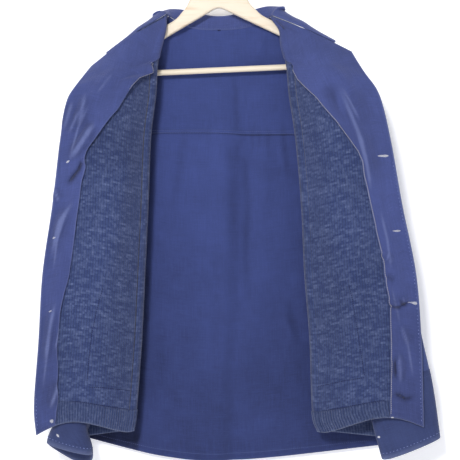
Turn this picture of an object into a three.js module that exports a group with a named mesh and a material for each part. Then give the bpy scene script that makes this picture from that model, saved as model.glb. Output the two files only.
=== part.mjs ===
// Cotton work jacket on a wooden hanger, with both fronts thrown open and folded back over the sleeves
import * as THREE from 'three';

// Millimetres, X to the viewer's right, Y away from the viewer, Z up, origin at the hook's bearing point

// Cloth
const WOVEN = 1.2;
const KNIT = 2.6;
const SEAM = 0.3;
const RIB_PITCH = 4.2;
const RIB_RELIEF = 0.7;

// Body, as distances from the hanger's middle plane
const FRONT_DEPTH = 14;
const BACK_DEPTH = 16;
const SHOULDER_ROUND = 8;
const SIDE_ROUND = 13;
const YOKE_V = 0.33;
const RIB_V = 0.875;
const UNDERARM_V = 0.5;
const HEM_DIP = [-2, 15, 30.2, 39.5, 40.2, 35.3, 28.6, 21.3, 14];

// Flap, the part of each front that is folded back over the sleeve
const TURN_DEPTH = 20;
const FLAP_DEPTH = 65;
const FLAP_EDGE_DEPTH = 57;
const HEM_LIFT = 20;
const FACING_CLEAR = 1.2;
const POCKET_CLEAR = 0.9;

// Collar
const COLLAR_HEIGHT = 24;
const COLLAR_GAP = 1.05;

// Sleeves
const SLEEVE_Y = -38;
const SLEEVE_JOIN = 2.4;
const SLEEVE_LAP = 3.1;
const CUFF_START = 0.78;

// Hanger
const WOOD_THICK = 12;
const WOOD_ROUND = 4.5;
const ARM_ANGLE = 28;
const ARM_DROP = 18.8;
const ARM_REACH = 184;
const WOOD_TILT = 2.6;
const APEX = [-1, -107];
const WOOD_TOP = -62;
const BAR_RADIUS = 4.5;
const BAR_Z = -205.5;
const WIRE_RADIUS = 2;
const HOOK_RADIUS = 19.5;

// Buttons
const BUTTON_RADIUS = 8;
const CUFF_BUTTON_RADIUS = 6;
const BUTTON_THICK = 3;

// Stations down each front from the shoulder to the hem, evenly numbered.
// rear is the armhole and side seam, fold the turned edge and edge the front edge.
const LEFT = {
  out: -1,
  rearX: [-200, -198, -194, -196, -226, -231, -233, -233, -229],
  rearZ: [-205, -225, -262, -322, -400, -500, -608, -725, -776],
  foldX: [-78, -94, -98, -106, -110, -115, -120, -128, -133],
  foldZ: [-122, -190, -246, -314, -416, -523, -625, -732, -765],
  edgeX: [-195, -214, -231, -241, -253, -268, -274, -281, -278],
  edgeZ: [-205, -231, -258, -316, -417, -522, -623, -720, -767],
  facing: [-0.5, -0.1, 0.36, 0.6, 0.72, 0.735, 0.81, 0.775, 0.81],
  neck: [-78, -122],
  sleeveX: [-203, -209, -215, -222, -229],
  sleeveHalf: [49, 49, 46, 36, 35],
  cuffPinch: 12,
  sleeveDeep: [15, 15, 16, 18, 19],
  cuffTilt: 8,
  cuffRise: 8.5,
  cuffSag: 11,
  bow: 1.5,
  foldPush: 5,
  foldPushV: 0.02,
};
const RIGHT = {
  out: 1,
  rearX: [205, 201, 199, 207, 246, 261, 267, 270, 270],
  rearZ: [-182, -206, -252, -320, -400, -500, -608, -725, -776],
  foldX: [82, 103, 109, 119, 128, 133, 141, 145, 154],
  foldZ: [-123.5, -192, -246, -314, -416, -523, -625, -735, -766],
  edgeX: [203, 221, 244, 261, 279, 300, 308, 311, 312],
  edgeZ: [-182, -214, -249, -316, -417, -522, -623, -717, -755],
  facing: [-0.5, 0.0, 0.3, 0.56, 0.68, 0.71, 0.72, 0.7, 0.68],
  neck: [78, -123.5],
  sleeveX: [218, 236, 254, 277, 295],
  sleeveHalf: [59, 57, 54, 50, 44],
  cuffPinch: 0,
  sleeveDeep: [15, 15, 15, 15, 15],
  cuffTilt: 16,
  cuffRise: -3,
  cuffSag: 0,
  bow: 0,
  foldPush: 6,
  foldPushV: 0.055,
};
const SLEEVE_Z = [-440, -520, -610, -704, -789];

// Colours
const INDIGO = 0x2e3a66;
const YOKE_BLUE = 0x35427a;
const FACING_BLUE = 0x44508a;
const KNIT_BLUE = 0x3d4a73;
const WOOD = 0xf0dcb8;
const METAL = 0xb8bcc0;
const BUTTON = 0x1c2238;

const jacket = new THREE.Group();
jacket.name = 'work_jacket_on_hanger';

const clamp = (x, low = 0, high = 1) => Math.min(Math.max(x, low), high);
const mix = (a, b, w) => a + (b - a) * w;
const smooth = (x) => {
  const w = clamp(x);
  return w * w * (3 - 2 * w);
};

// A smooth curve through evenly spaced values, t from 0 to 1, level at its start if flat
function along(values, t, flat = false) {
  const f = clamp(t) * (values.length - 1);
  const i = Math.min(Math.floor(f), values.length - 2);
  const w = f - i;
  const b = values[i];
  const c = values[i + 1];
  const a = i > 0 ? values[i - 1] : flat ? c : 2 * b - c;
  const d = i + 2 < values.length ? values[i + 2] : 2 * c - b;
  const curve = (2 * a - 5 * b + 4 * c - d) * w * w + (3 * b - a - 3 * c + d) * w * w * w;
  return b + ((c - a) * w + curve) / 2;
}

// A rounded wall that turns through a quarter circle over the first part of its drop
const quarter = (drop, radius) => Math.sqrt(1 - (1 - clamp(drop / radius)) ** 2);

// A soft ridge across a line, height 1 on the line and near 0 one width away
const ridge = (distance, width) => Math.exp(-((distance / width) ** 2) * 3);

function addMesh(name, geometry, colour, roughness = 0.9, metalness = 0) {
  const material = new THREE.MeshStandardMaterial({ color: colour, roughness, metalness });
  const mesh = new THREE.Mesh(geometry, material);
  mesh.name = name;
  jacket.add(mesh);
}

// Turns every face outwards by the sign of the enclosed volume
function outward(positions, faces) {
  const p = (i) => new THREE.Vector3(...positions.slice(3 * i, 3 * i + 3));
  let volume = 0;
  for (const [a, b, c] of faces) {
    volume += p(a).dot(p(b).cross(p(c)));
  }
  return volume < 0 ? faces.map(([a, b, c]) => [a, c, b]) : faces;
}

function solid(positions, faces) {
  const geometry = new THREE.BufferGeometry();
  geometry.setAttribute('position', new THREE.Float32BufferAttribute(positions, 3));
  geometry.setIndex(outward(positions, faces).flat());
  geometry.computeVertexNormals();
  return geometry;
}

// The unit normal of surface(c, v), found from nearby points inside the given limits
function normalAt(surface, c, v, limits) {
  const step = 0.002;
  const [c0, c1, v0, v1] = limits;
  const ca = Math.max(c - step, c0);
  const cb = Math.min(c + step, c1);
  const va = Math.max(v - step, v0);
  const vb = Math.min(v + step, v1);
  const across = surface(cb, v).sub(surface(ca, v));
  const down = surface(c, vb).sub(surface(c, va));
  return across.cross(down).normalize();
}

// A thin closed wall over the grid columns x rows of surface(c, v), columns a list or a list for each v.
// lift moves the whole wall along the normal, relief its first face only, and flip turns the normal.
function cloth(surface, columns, rows, options) {
  const { thick, lift = 0, relief = () => 0, ring = false, flip = false } = options;
  const limits = options.limits ?? [-99, 99, rows[0], rows[rows.length - 1]];
  const positions = [];
  const backs = [];
  const columnsAt = Array.isArray(columns) ? () => columns : columns;
  for (const v of rows) {
    for (const [i, c] of columnsAt(v).entries()) {
      const middle = surface(c, v);
      const normal = normalAt(surface, c, v, limits).multiplyScalar(flip ? -1 : 1);
      const face = middle.clone().addScaledVector(normal, lift + thick / 2 + relief(i));
      const back = middle.addScaledVector(normal, lift - thick / 2);
      positions.push(face.x, face.y, face.z);
      backs.push(back.x, back.y, back.z);
    }
  }
  const wide = columnsAt(rows[0]).length;
  const high = rows.length;
  const count = wide * high;
  const faces = [];
  const quad = (a, b, c, d) => faces.push([a, b, c], [a, c, d]);
  const spans = ring ? wide : wide - 1;
  for (let r = 0; r < high - 1; r += 1) {
    for (let i = 0; i < spans; i += 1) {
      const a = r * wide + i;
      const b = r * wide + ((i + 1) % wide);
      quad(a, b, b + wide, a + wide);
      quad(count + a, count + a + wide, count + b + wide, count + b);
    }
  }
  for (let i = 0; i < spans; i += 1) {
    const j = (i + 1) % wide;
    const last = (high - 1) * wide;
    quad(i, count + i, count + j, j);
    quad(last + i, last + j, count + last + j, count + last + i);
  }
  if (!ring) {
    for (let r = 0; r < high - 1; r += 1) {
      const a = r * wide;
      const b = a + wide - 1;
      quad(a, a + wide, count + a + wide, count + a);
      quad(b, count + b, count + b + wide, b + wide);
    }
  }
  return solid(positions.concat(backs), faces);
}

// Depth of the rear layer and the back panel, 0 at the shoulder line and side seam
function bodyDepth(drop, fromSide, v, depth) {
  const shoulder = SHOULDER_ROUND * quarter(drop, SHOULDER_ROUND);
  const full = shoulder + (depth - SHOULDER_ROUND) * smooth((drop - SHOULDER_ROUND) / 60);
  const open = 0.8 * smooth((UNDERARM_V - v) / 0.09);
  const side = open + (1 - open) * quarter(fromSide, SIDE_ROUND);
  return SEAM / 2 + full * side;
}

// The front: c 0 to 1 is the rear layer, 1 to 2 the turn at the fold, 2 to 3 the flap
function front(side, c, v) {
  const { out } = side;
  const rearX = along(side.rearX, v, true);
  const rearZ = along(side.rearZ, v, true);
  const push = side.foldPush * ridge(v - side.foldPushV, 0.04);
  const foldX = along(side.foldX, v, true) + out * push;
  const foldZ = along(side.foldZ, v, true);
  const turnX = mix(1, TURN_DEPTH / 2, smooth(v / 0.1));
  const innerX = foldX + out * turnX;
  const w = clamp(c);
  const x = mix(rearX, innerX, w);
  const z = mix(rearZ, foldZ, w);
  const drop = mix(side.rearZ[0], side.foldZ[0], w) - z;
  const wave = 1.5 * Math.sin(w * 7 + v * 5) * smooth(v / 0.3) * smooth(w * 4);
  const rearY = -bodyDepth(drop, Math.abs(x - rearX), v, FRONT_DEPTH) - wave;
  if (c <= 1) {
    return new THREE.Vector3(x, rearY, z);
  }
  const startY = mix(-12.5, -FRONT_DEPTH - TURN_DEPTH, smooth(v / 0.13));
  if (c < 2) {
    const angle = (c - 1) * Math.PI;
    const turnedX = foldX + out * turnX * (1 - Math.sin(angle));
    return new THREE.Vector3(turnedX, mix(rearY, startY, (1 - Math.cos(angle)) / 2), foldZ);
  }
  const u = Math.min(c, 3) - 2;
  const edgeX = along(side.edgeX, v, true);
  const edgeZ = along(side.edgeZ, v, true);
  const bow = side.bow * Math.sin(Math.PI * u) * (1 - smooth(v / 0.2));
  const lift = HEM_LIFT * Math.sin(Math.PI * u ** 1.2) * smooth((v - 0.72) / 0.28) ** 1.5;
  const flapX = mix(innerX, edgeX, u) + out * 0.5 * bow;
  const flapZ = mix(foldZ, edgeZ, u) + 0.8 * bow + lift;
  const deep = mix(40, FLAP_DEPTH, smooth(v / 0.2));
  const edgeDeep = mix(44, FLAP_EDGE_DEPTH, smooth(v / 0.2));
  const rise = Math.sin((Math.PI / 2) * clamp(u / 0.42));
  const backwards = 7 * smooth((u - 0.55) / 0.45) * (1 - smooth(v / 0.16));
  const body = mix(-startY, deep, rise) + (edgeDeep - deep) * smooth((u - 0.5) / 0.5) - backwards;
  return new THREE.Vector3(flapX, -body - flapFolds(side, u, v), flapZ);
}

// The largest folds of the flap, slanting down from the shoulder to the front edge
function flapFolds(side, u, v) {
  const below = smooth((v - 0.04) / 0.1) * (1 - smooth((v - 0.86) / 0.1));
  const slant = ridge(u - 0.62 - 1.1 * (v - 0.2), 0.16) * ridge(v - 0.22, 0.22);
  const low = ridge(u - 0.8 - 0.5 * (v - 0.6), 0.12) * ridge(v - 0.6, 0.25);
  const soft = ridge(u - 0.4 + 0.4 * (v - 0.5), 0.2) * ridge(v - 0.55, 0.4);
  return below * (3 * slant + 2.5 * low + 1.5 * soft);
}

const neckZ = [-122, -133, -139.5, -141.2, -141.5, -141, -138.5, -133, -123.5];

// The height of the back's top edge: both shoulder lines and the neckline between them
function backTop(f, leftNeck, rightNeck) {
  if (f < leftNeck) {
    return mix(LEFT.rearZ[0], LEFT.neck[1], f / leftNeck);
  }
  if (f > rightNeck) {
    return mix(RIGHT.neck[1], RIGHT.rearZ[0], (f - rightNeck) / (1 - rightNeck));
  }
  return along(neckZ, (f - leftNeck) / (rightNeck - leftNeck));
}

// The back: f 0 to 1 from the left armhole to the right one, v as down the fronts
const SPAN = RIGHT.rearX[0] - LEFT.rearX[0];
const LEFT_NECK = (LEFT.neck[0] - LEFT.rearX[0]) / SPAN;
const RIGHT_NECK = (RIGHT.neck[0] - LEFT.rearX[0]) / SPAN;

function back(f, v) {
  const leftX = along(LEFT.rearX, v, true);
  const rightX = along(RIGHT.rearX, v, true);
  const leftZ = along(LEFT.rearZ, v, true);
  const rightZ = along(RIGHT.rearZ, v, true);
  const x = mix(leftX, rightX, f);
  const top = backTop(f, LEFT_NECK, RIGHT_NECK);
  const straight = mix(LEFT.rearZ[0], RIGHT.rearZ[0], f);
  const below = Math.max(v - YOKE_V, 0) / (1 - YOKE_V);
  const dip = along(HEM_DIP, f) * below ** 2;
  const above = 1 - clamp(v / YOKE_V) ** 1.5;
  const z = mix(leftZ, rightZ, f) + (top - straight) * above - dip;
  const drop = top - z;
  const inNeck = Math.min(f - LEFT_NECK, RIGHT_NECK - f) * SPAN;
  const fromSide = Math.min(x - leftX, rightX - x);
  const shoulderY = bodyDepth(drop, fromSide, v, BACK_DEPTH);
  const neckY = mix(9, BACK_DEPTH, smooth(inNeck / 26));
  const y = inNeck > 0.5 ? Math.max(shoulderY, neckY) : shoulderY;
  return new THREE.Vector3(x, y + backFolds(x, z), z);
}

// The largest folds of the back, which hang down from the yoke seam
function backFolds(x, z) {
  const started = smooth((-z - 200) / 160);
  const middle = 5 * ridge(x - 42 - 0.05 * (z + 300), 26) - 4 * ridge(x - 4, 26);
  const left = -2.5 * ridge(x + 70 - 0.06 * (z + 300), 34);
  const slant = 3.5 * ridge(x - 98 - 0.25 * (z + 560), 50) * smooth((-z - 420) / 120);
  const right = -3 * ridge(x - 48 - 0.25 * (z + 560), 50) * smooth((-z - 460) / 120);
  return started * (middle + left + slant + right);
}

// The armhole of one side as a loop: s 0 at the underarm, 0.5 at the shoulder, 1 at the underarm.
// The sleeve starts just outside the panels' edge, and before the front panel along its front half.
function armhole(side, s) {
  const v = UNDERARM_V * Math.abs(1 - 2 * s);
  const edge = s < 0.5 ? front(side, 0, v) : back(side.out < 0 ? 0 : 1, v);
  const step = 0.01;
  const va = Math.max(v - step, 0);
  const dx = along(side.rearX, v + step, true) - along(side.rearX, va, true);
  const dz = along(side.rearZ, v + step, true) - along(side.rearZ, va, true);
  const away = new THREE.Vector3(-dz * side.out, 0, dx * side.out).normalize();
  const forward = s < 0.5 ? 1.4 * Math.sin(2 * Math.PI * s) ** 0.5 : 0;
  edge.addScaledVector(away, SLEEVE_JOIN * Math.cos(forward));
  edge.y -= SLEEVE_LAP * Math.sin(forward);
  return edge;
}

const SLEEVE_TURN = [62, 110, 160, 215, 275, 318, 352, 385, 422];

// A level of the hanging sleeve, t 0 below the underarm and 1 at the cuff's edge
function sleeveRing(side, s, t) {
  const angle = (along(SLEEVE_TURN, s) * Math.PI) / 180;
  const half = along(side.sleeveHalf, t) - side.cuffPinch * ridge(t - 0.88, 0.12);
  const deep = along(side.sleeveDeep, t);
  const rightAngled = Math.cos(angle);
  const x = along(side.sleeveX, t) + side.out * half * rightAngled;
  const round = Math.sign(Math.sin(angle)) * Math.abs(Math.sin(angle)) ** 0.75;
  const sag = side.cuffRise * round + side.cuffSag * Math.abs(round);
  const slope = side.cuffTilt * rightAngled - sag * (1 - 0.5 * rightAngled);
  const z = along(SLEEVE_Z, t) + slope * smooth(t);
  return new THREE.Vector3(x, SLEEVE_Y + deep * round, z);
}

// The sleeve: t 0 at the armhole, 0.3 where the ring closes below the underarm, 1 at the cuff's edge
function sleeve(side, s, t) {
  const loop = ((s % 1) + 1) % 1;
  const head = 0.3;
  if (t >= head) {
    return sleeveRing(side, loop, (t - head) / (1 - head));
  }
  const w = t / head;
  const start = armhole(side, loop);
  const end = sleeveRing(side, loop, 0);
  const middle = start.clone().lerp(end, smooth(w) * 0.5 + w * 0.5);
  const bulge = Math.sin(Math.PI * w);
  const behind = smooth((loop - 0.62) / 0.2) * (1 - smooth((loop - 0.985) / 0.015));
  const crown = ridge(loop - 0.5, 0.3);
  const inFront = loop < 0.5 ? 1 - smooth(loop / 0.3) : 0;
  middle.x += side.out * bulge * (15 * behind + 3 * crown + 6 * inFront);
  middle.y += bulge * (9 * behind - 7 * inFront - 4 * crown);
  return middle;
}

// The neckline from the left front's corner round the back neck to the right front's corner,
// as two curves: the collar's seam and a second one a millimetre up the collar from it
function neckline() {
  const seam = [];
  const above = [];
  const add = (point, up) => {
    seam.push(point);
    above.push(point.clone().add(up));
  };
  const addFlap = (side, c) => {
    const at = Math.min(c, 2.6);
    const run = front(side, at + 0.01, 0).sub(front(side, at - 0.01, 0));
    const up = new THREE.Vector3(-side.out * run.z, 0, side.out * run.x).normalize();
    add(front(side, c, 0).addScaledVector(up, 0.8 * (c - 2)), up);
  };
  const addOver = (point, clear) => {
    const upright = new THREE.Vector3(0, 0, 1);
    add(point.addScaledVector(upright, clear), upright);
  };
  const flapSteps = [2.78, 2.66, 2.52, 2.36, 2.2];
  const turnSteps = [[2, 0.2], [1.6, 0.8], [1.05, 1.5]];
  const inBack = [0.12, 0.25, 0.375, 0.5, 0.625, 0.75, 0.88].map((w) => [w, 0]);
  const backSteps = [[0.03, 0.8], ...inBack, [0.97, 0.8]];
  flapSteps.forEach((c) => addFlap(LEFT, c));
  turnSteps.forEach(([c, clear]) => addOver(front(LEFT, c, 0), clear));
  backSteps.forEach(([w, clear]) => addOver(back(mix(LEFT_NECK, RIGHT_NECK, w), 0), clear));
  turnSteps.reverse().forEach(([c, clear]) => addOver(front(RIGHT, c, 0), clear));
  flapSteps.reverse().forEach((c) => addFlap(RIGHT, c));
  return [seam, above].map((points) => new THREE.CatmullRomCurve3(points, false, 'centripetal'));
}

const [NECKLINE, ABOVE_NECKLINE] = neckline();
const COLLAR_ROLL = [1.5, 1.5, 1.5, 1.5, 1.7, 0.5, 0.25, 0.25, 0.25, 0.5, 1.3, 1.5, 1.5, 1.5, 1.5];
const COLLAR_LEAN = [1.45, 1.3, 0.75, 0.85, 0.95, 0.1, 0, 0, 0, 0, 0.3, 0.4, 0.4, 0.8, 1.0];

// The stand collar: s along the neckline, q up the band, leaning and rolling over on the open fronts
function collar(s, q) {
  const w = clamp(s);
  const base = NECKLINE.getPoint(w);
  const run = NECKLINE.getTangent(w);
  const upright = ABOVE_NECKLINE.getPoint(w).sub(base);
  const up = upright.addScaledVector(run, -upright.dot(run)).normalize();
  const outside = up.clone().cross(run);
  const lean = along(COLLAR_LEAN, w);
  const roll = along(COLLAR_ROLL, w);
  const radius = (COLLAR_HEIGHT * (1 - 0.12 * ridge(w - 0.5, 0.1))) / roll;
  const rise = radius * (Math.sin(lean + roll * q) - Math.sin(lean));
  const over = radius * (Math.cos(lean) - Math.cos(lean + roll * q));
  base.addScaledVector(up, COLLAR_GAP + 1.6 * WOVEN * Math.sin(lean) + rise);
  return base.addScaledVector(outside, WOVEN * Math.sin(lean) + over);
}

const range = (from, to, count) => Array.from({ length: count + 1 }, (_, i) => mix(from, to, i / count));

const REAR_COLUMNS = [0, 0.012, 0.05, 0.12, 0.34, 0.56, 0.78, 1];
const TURN_COLUMNS = [1.2, 1.4, 1.6, 1.8, 2];
const FLAP_COLUMNS = [2.07, 2.16, 2.27, 2.39, 2.51, 2.63, 2.75, 2.88, 3];
const FRONT_COLUMNS = [...REAR_COLUMNS, ...TURN_COLUMNS, ...FLAP_COLUMNS];
const FACING_COLUMNS = [1.6, 1.8, 2, ...FLAP_COLUMNS];
const TOP_ROWS = [0, 0.01, 0.02, 0.03, 0.045, 0.0625, 0.09, 0.125];
const ARM_ROWS = [0.155, 0.1875, 0.22, 0.25, 0.3125, 0.375, 0.4375, 0.5, 0.57];
const POCKET_ROWS = [0.65, 0.7, 0.75, 0.8, 0.845];
const FRONT_ROWS = [...TOP_ROWS, ...ARM_ROWS, ...POCKET_ROWS];
const BACK_COLUMNS = [0, 0.004, 0.014, 0.028, 0.09, 0.165, 0.24, LEFT_NECK, 0.326];
const NECK_COLUMNS = range(0.36, 0.64, 8);
const BACK_COLUMNS_RIGHT = [0.67, RIGHT_NECK, 0.755, 0.83, 0.905, 0.972, 0.986, 0.996, 1];

function addFront(side, label) {
  const surface = (c, v) => front(side, c, v);
  const seam = SEAM / 640;
  const shared = { limits: [0, 3, 0, 1], flip: side.out > 0 };
  const panelRows = [...FRONT_ROWS, RIB_V - seam];
  const panel = cloth(surface, FRONT_COLUMNS, panelRows, { ...shared, thick: KNIT });
  addMesh(`front_${label}`, panel, KNIT_BLUE);

  const ribs = Math.round(276 / RIB_PITCH);
  const relief = (i) => (i % 2 ? RIB_RELIEF : 0);
  const rib = cloth(surface, range(0, 3, 2 * ribs), [RIB_V + seam, 1], { ...shared, thick: KNIT, relief });
  addMesh(`rib_hem_${label}`, rib, KNIT_BLUE);

  const inner = (v) => 2 + along(side.facing, v);
  const facingColumns = (v) => FACING_COLUMNS.map((c, i) => Math.max(c, inner(v) + 0.004 * i));
  const facingRows = [0, 0.02, ...FRONT_ROWS.slice(4), 0.875, 0.915, 0.96, 1];
  const facingLift = KNIT / 2 + RIB_RELIEF + FACING_CLEAR + WOVEN / 2;
  const facing = cloth(surface, facingColumns, facingRows, { ...shared, thick: WOVEN, lift: facingLift });
  addMesh(`facing_${label}`, facing, FACING_BLUE);

  const pocketColumns = [0.56, 0.78, 1, ...TURN_COLUMNS, ...FLAP_COLUMNS.slice(0, 4)];
  const pocketLift = -(KNIT / 2 + POCKET_CLEAR + WOVEN / 2);
  const pocket = cloth(surface, pocketColumns, POCKET_ROWS, { ...shared, thick: WOVEN, lift: pocketLift });
  addMesh(`pocket_${label}`, pocket, INDIGO);
}

function addSleeve(side, label) {
  const surface = (s, t) => sleeve(side, s, t);
  const around = range(0, 1, 16).slice(0, 16);
  const rows = [0, 0.03, 0.075, 0.13, 0.185, 0.24, 0.3, 0.4, 0.5, 0.6, 0.7, CUFF_START];
  const tube = cloth(surface, around, rows, { thick: WOVEN, ring: true });
  addMesh(`sleeve_${label}`, tube, FACING_BLUE);
  const cuffRows = range(CUFF_START + SEAM / 250, 1, 3);
  const cuff = cloth(surface, around, cuffRows, { thick: 2 * WOVEN, ring: true });
  addMesh(`cuff_${label}`, cuff, FACING_BLUE);
}

addFront(LEFT, 'left');
addFront(RIGHT, 'right');
addSleeve(LEFT, 'left');
addSleeve(RIGHT, 'right');

const backColumns = [...BACK_COLUMNS, ...NECK_COLUMNS, ...BACK_COLUMNS_RIGHT];
const backLimits = [0, 1, 0, 1];
const yokeRows = [...TOP_ROWS, 0.1875, 0.25, 0.29, YOKE_V - SEAM / 1400];
addMesh('back_yoke', cloth(back, backColumns, yokeRows, { thick: WOVEN, limits: backLimits }), YOKE_BLUE);
const backRows = [YOKE_V + SEAM / 1400, 0.375, 0.4375, ...range(0.5, 1, 9)];
addMesh('back_body', cloth(back, backColumns, backRows, { thick: WOVEN, limits: backLimits }), INDIGO);

const collarBand = cloth(collar, range(0, 1, 40), [0, 0.33, 0.67, 1], {
  thick: 2 * WOVEN,
  limits: [0, 1, 0, 1],
});
addMesh('collar_band', collarBand, FACING_BLUE);

// A disc with its axis along Y
function button(name, radius, x, y, z) {
  const disc = new THREE.CylinderGeometry(radius, radius - 0.6, BUTTON_THICK, 14);
  disc.translate(x, y, z);
  addMesh(name, disc, BUTTON, 0.4);
}

for (const [i, v] of [0.305, 0.535, 0.745].entries()) {
  const at = front(LEFT, 2.89, v);
  const y = at.y + KNIT / 2 + 0.9 + BUTTON_THICK / 2;
  button(`front_button_${i + 1}`, BUTTON_RADIUS, at.x, y, at.z);
}

for (const [side, label, s] of [[LEFT, 'left', 0.01], [RIGHT, 'right', 0.1]]) {
  const at = sleeve(side, s, 0.95);
  const normal = normalAt((a, t) => sleeve(side, a, t), s, 0.95, [-99, 99, 0, 1]);
  const sign = normal.y * (at.y - SLEEVE_Y) < 0 ? -1 : 1;
  at.addScaledVector(normal, sign * (WOVEN + 0.5 + BUTTON_THICK / 2));
  const disc = new THREE.CylinderGeometry(CUFF_BUTTON_RADIUS, CUFF_BUTTON_RADIUS - 0.6, BUTTON_THICK, 14);
  const turn = new THREE.Quaternion().setFromUnitVectors(new THREE.Vector3(0, 1, 0), normal);
  disc.applyQuaternion(turn);
  disc.translate(at.x, at.y, at.z);
  addMesh(`cuff_button_${label}`, disc, BUTTON, 0.4);
}

// The wooden hanger: two arms and a hump at the middle, cut from board and rounded all round
const tangent = Math.tan((ARM_ANGLE * Math.PI) / 180);
function hangerWood() {
  const lower = (x) => APEX[1] - Math.abs(x) * tangent;
  const half = [
    [66, lower(66) + ARM_DROP],
    [57, lower(57) + ARM_DROP + 5],
    [50, -106],
    [44, -93],
    [34, -78],
    [20, -66],
    [8, WOOD_TOP],
  ];
  const end = [
    [ARM_REACH - 3, lower(ARM_REACH - 3)],
    [ARM_REACH + 5, lower(ARM_REACH) + 4],
    [ARM_REACH + 5, lower(ARM_REACH) + 10],
    [ARM_REACH - 2, lower(ARM_REACH) + ARM_DROP],
  ];
  const right = [[0, APEX[1]], ...end, ...half];
  const left = [...right].reverse().slice(0, -1).map(([x, z]) => [-x, z]);
  const outline = [...right, ...left].map(([x, z]) => new THREE.Vector2(x, z));
  const inset = WOOD_ROUND;
  const board = new THREE.ExtrudeGeometry(new THREE.Shape(outline), {
    depth: WOOD_THICK - 2 * inset,
    bevelEnabled: true,
    bevelThickness: inset,
    bevelSize: inset,
    bevelOffset: -inset,
    bevelSegments: 3,
    curveSegments: 1,
  });
  board.translate(0, 0, -(WOOD_THICK - 2 * inset) / 2);
  board.rotateX(Math.PI / 2);
  return board;
}

// Leans a part of the hanger about the lower point of its V
function leant(geometry) {
  geometry.translate(0, 0, -APEX[1]);
  geometry.rotateY((-WOOD_TILT * Math.PI) / 180);
  geometry.translate(APEX[0], 0, APEX[1]);
  return geometry;
}

addMesh('hanger_wood', leant(hangerWood()), WOOD, 0.5);

// The trouser bar, its ends cut to the slope of the arms
const bar = new THREE.CylinderGeometry(BAR_RADIUS, BAR_RADIUS, 2, 12, 1);
bar.rotateZ(Math.PI / 2);
const ends = bar.getAttribute('position');
for (let i = 0; i < ends.count; i += 1) {
  const z = BAR_Z + ends.getZ(i);
  const reach = (APEX[1] - 1 - z) / tangent;
  ends.setXYZ(i, Math.sign(ends.getX(i)) * reach, ends.getY(i), z);
}
addMesh('hanger_bar', leant(bar), WOOD, 0.5);

// The hook: a straight stem, then an arc open to the left of the stem
function hookCurve() {
  const centre = -HOOK_RADIUS + WIRE_RADIUS;
  const points = [new THREE.Vector3(-3, 0, WOOD_TOP + SEAM), new THREE.Vector3(-3, 0, -48)];
  for (const degrees of [-78, -45, -10, 25, 60, 95, 130, 165, 200]) {
    const a = (degrees * Math.PI) / 180;
    points.push(new THREE.Vector3(HOOK_RADIUS * Math.cos(a), 0, centre + HOOK_RADIUS * Math.sin(a)));
  }
  return new THREE.CatmullRomCurve3(points, false, 'centripetal');
}

// A round wire along a curve with flat ends
function wire(curve, radius, steps, sides) {
  const frames = curve.computeFrenetFrames(steps, false);
  const positions = [];
  const faces = [];
  for (let i = 0; i <= steps; i += 1) {
    const at = curve.getPointAt(i / steps);
    for (let k = 0; k < sides; k += 1) {
      const a = (2 * Math.PI * k) / sides;
      const p = at.clone().addScaledVector(frames.normals[i], radius * Math.cos(a));
      p.addScaledVector(frames.binormals[i], radius * Math.sin(a));
      positions.push(p.x, p.y, p.z);
    }
  }
  for (let i = 0; i < steps; i += 1) {
    for (let k = 0; k < sides; k += 1) {
      const a = i * sides + k;
      const b = i * sides + ((k + 1) % sides);
      faces.push([a, b, b + sides], [a, b + sides, a + sides]);
    }
  }
  for (let k = 1; k < sides - 1; k += 1) {
    const last = steps * sides;
    faces.push([0, k + 1, k], [last, last + k, last + k + 1]);
  }
  return solid(positions, faces);
}

addMesh('hanger_hook', wire(hookCurve(), WIRE_RADIUS, 34, 8), METAL, 0.3, 1);

export default jacket;
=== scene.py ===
import bpy
import numpy as np
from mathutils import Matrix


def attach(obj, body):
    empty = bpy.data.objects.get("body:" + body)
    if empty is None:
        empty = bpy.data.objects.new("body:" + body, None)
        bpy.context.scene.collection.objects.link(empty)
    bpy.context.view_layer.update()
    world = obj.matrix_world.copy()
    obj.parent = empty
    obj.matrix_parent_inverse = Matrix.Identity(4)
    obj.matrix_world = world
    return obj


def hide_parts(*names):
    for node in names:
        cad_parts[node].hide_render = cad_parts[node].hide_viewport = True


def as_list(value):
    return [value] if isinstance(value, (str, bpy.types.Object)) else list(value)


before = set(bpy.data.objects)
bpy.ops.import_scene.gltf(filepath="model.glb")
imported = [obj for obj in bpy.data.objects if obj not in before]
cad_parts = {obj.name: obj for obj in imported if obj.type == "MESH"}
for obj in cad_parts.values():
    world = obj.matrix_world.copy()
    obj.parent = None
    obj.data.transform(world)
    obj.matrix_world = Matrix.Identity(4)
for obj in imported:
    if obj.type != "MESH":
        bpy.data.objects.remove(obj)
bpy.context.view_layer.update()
mm = 0.001  # shapes are worked out in millimetres and stored in metres
print("frame loaded")


# Shapes

def smooth(x):  # 3w² - 2w³ for w from 0 to 1
    w = np.clip(x, 0, 1)
    return w * w * (3 - 2 * w)


def mix(a, b, w):  # a at w 0, b at w 1
    return a + (b - a) * w


def ridge(distance, width):  # exp(-3 (distance / width)²)
    return np.exp(-3 * (distance / width) ** 2)


def stack(x, y, z):
    return np.stack(np.broadcast_arrays(x, y, z), -1)


def unit(vectors):
    return vectors / np.maximum(np.linalg.norm(vectors, axis=-1, keepdims=True), 1e-9)


def along(values, t, flat=False):
    # a smooth curve through evenly numbered values: cubics whose slopes are half the step between neighbours
    values = np.asarray(values, float)
    before = values[1] if flat else 2 * values[0] - values[1]
    v = np.concatenate([[before], values, [2 * values[-1] - values[-2]]])
    f = np.clip(np.asarray(t, float), 0, 1) * (len(values) - 1)
    i = np.minimum(f.astype(int), len(values) - 2)
    w = f - i
    a, b, c, d = v[i], v[i + 1], v[i + 2], v[i + 3]
    return b + ((c - a) * w + (2 * a - 5 * b + 4 * c - d) * w**2 + (3 * b - a - 3 * c + d) * w**3) / 2


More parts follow.
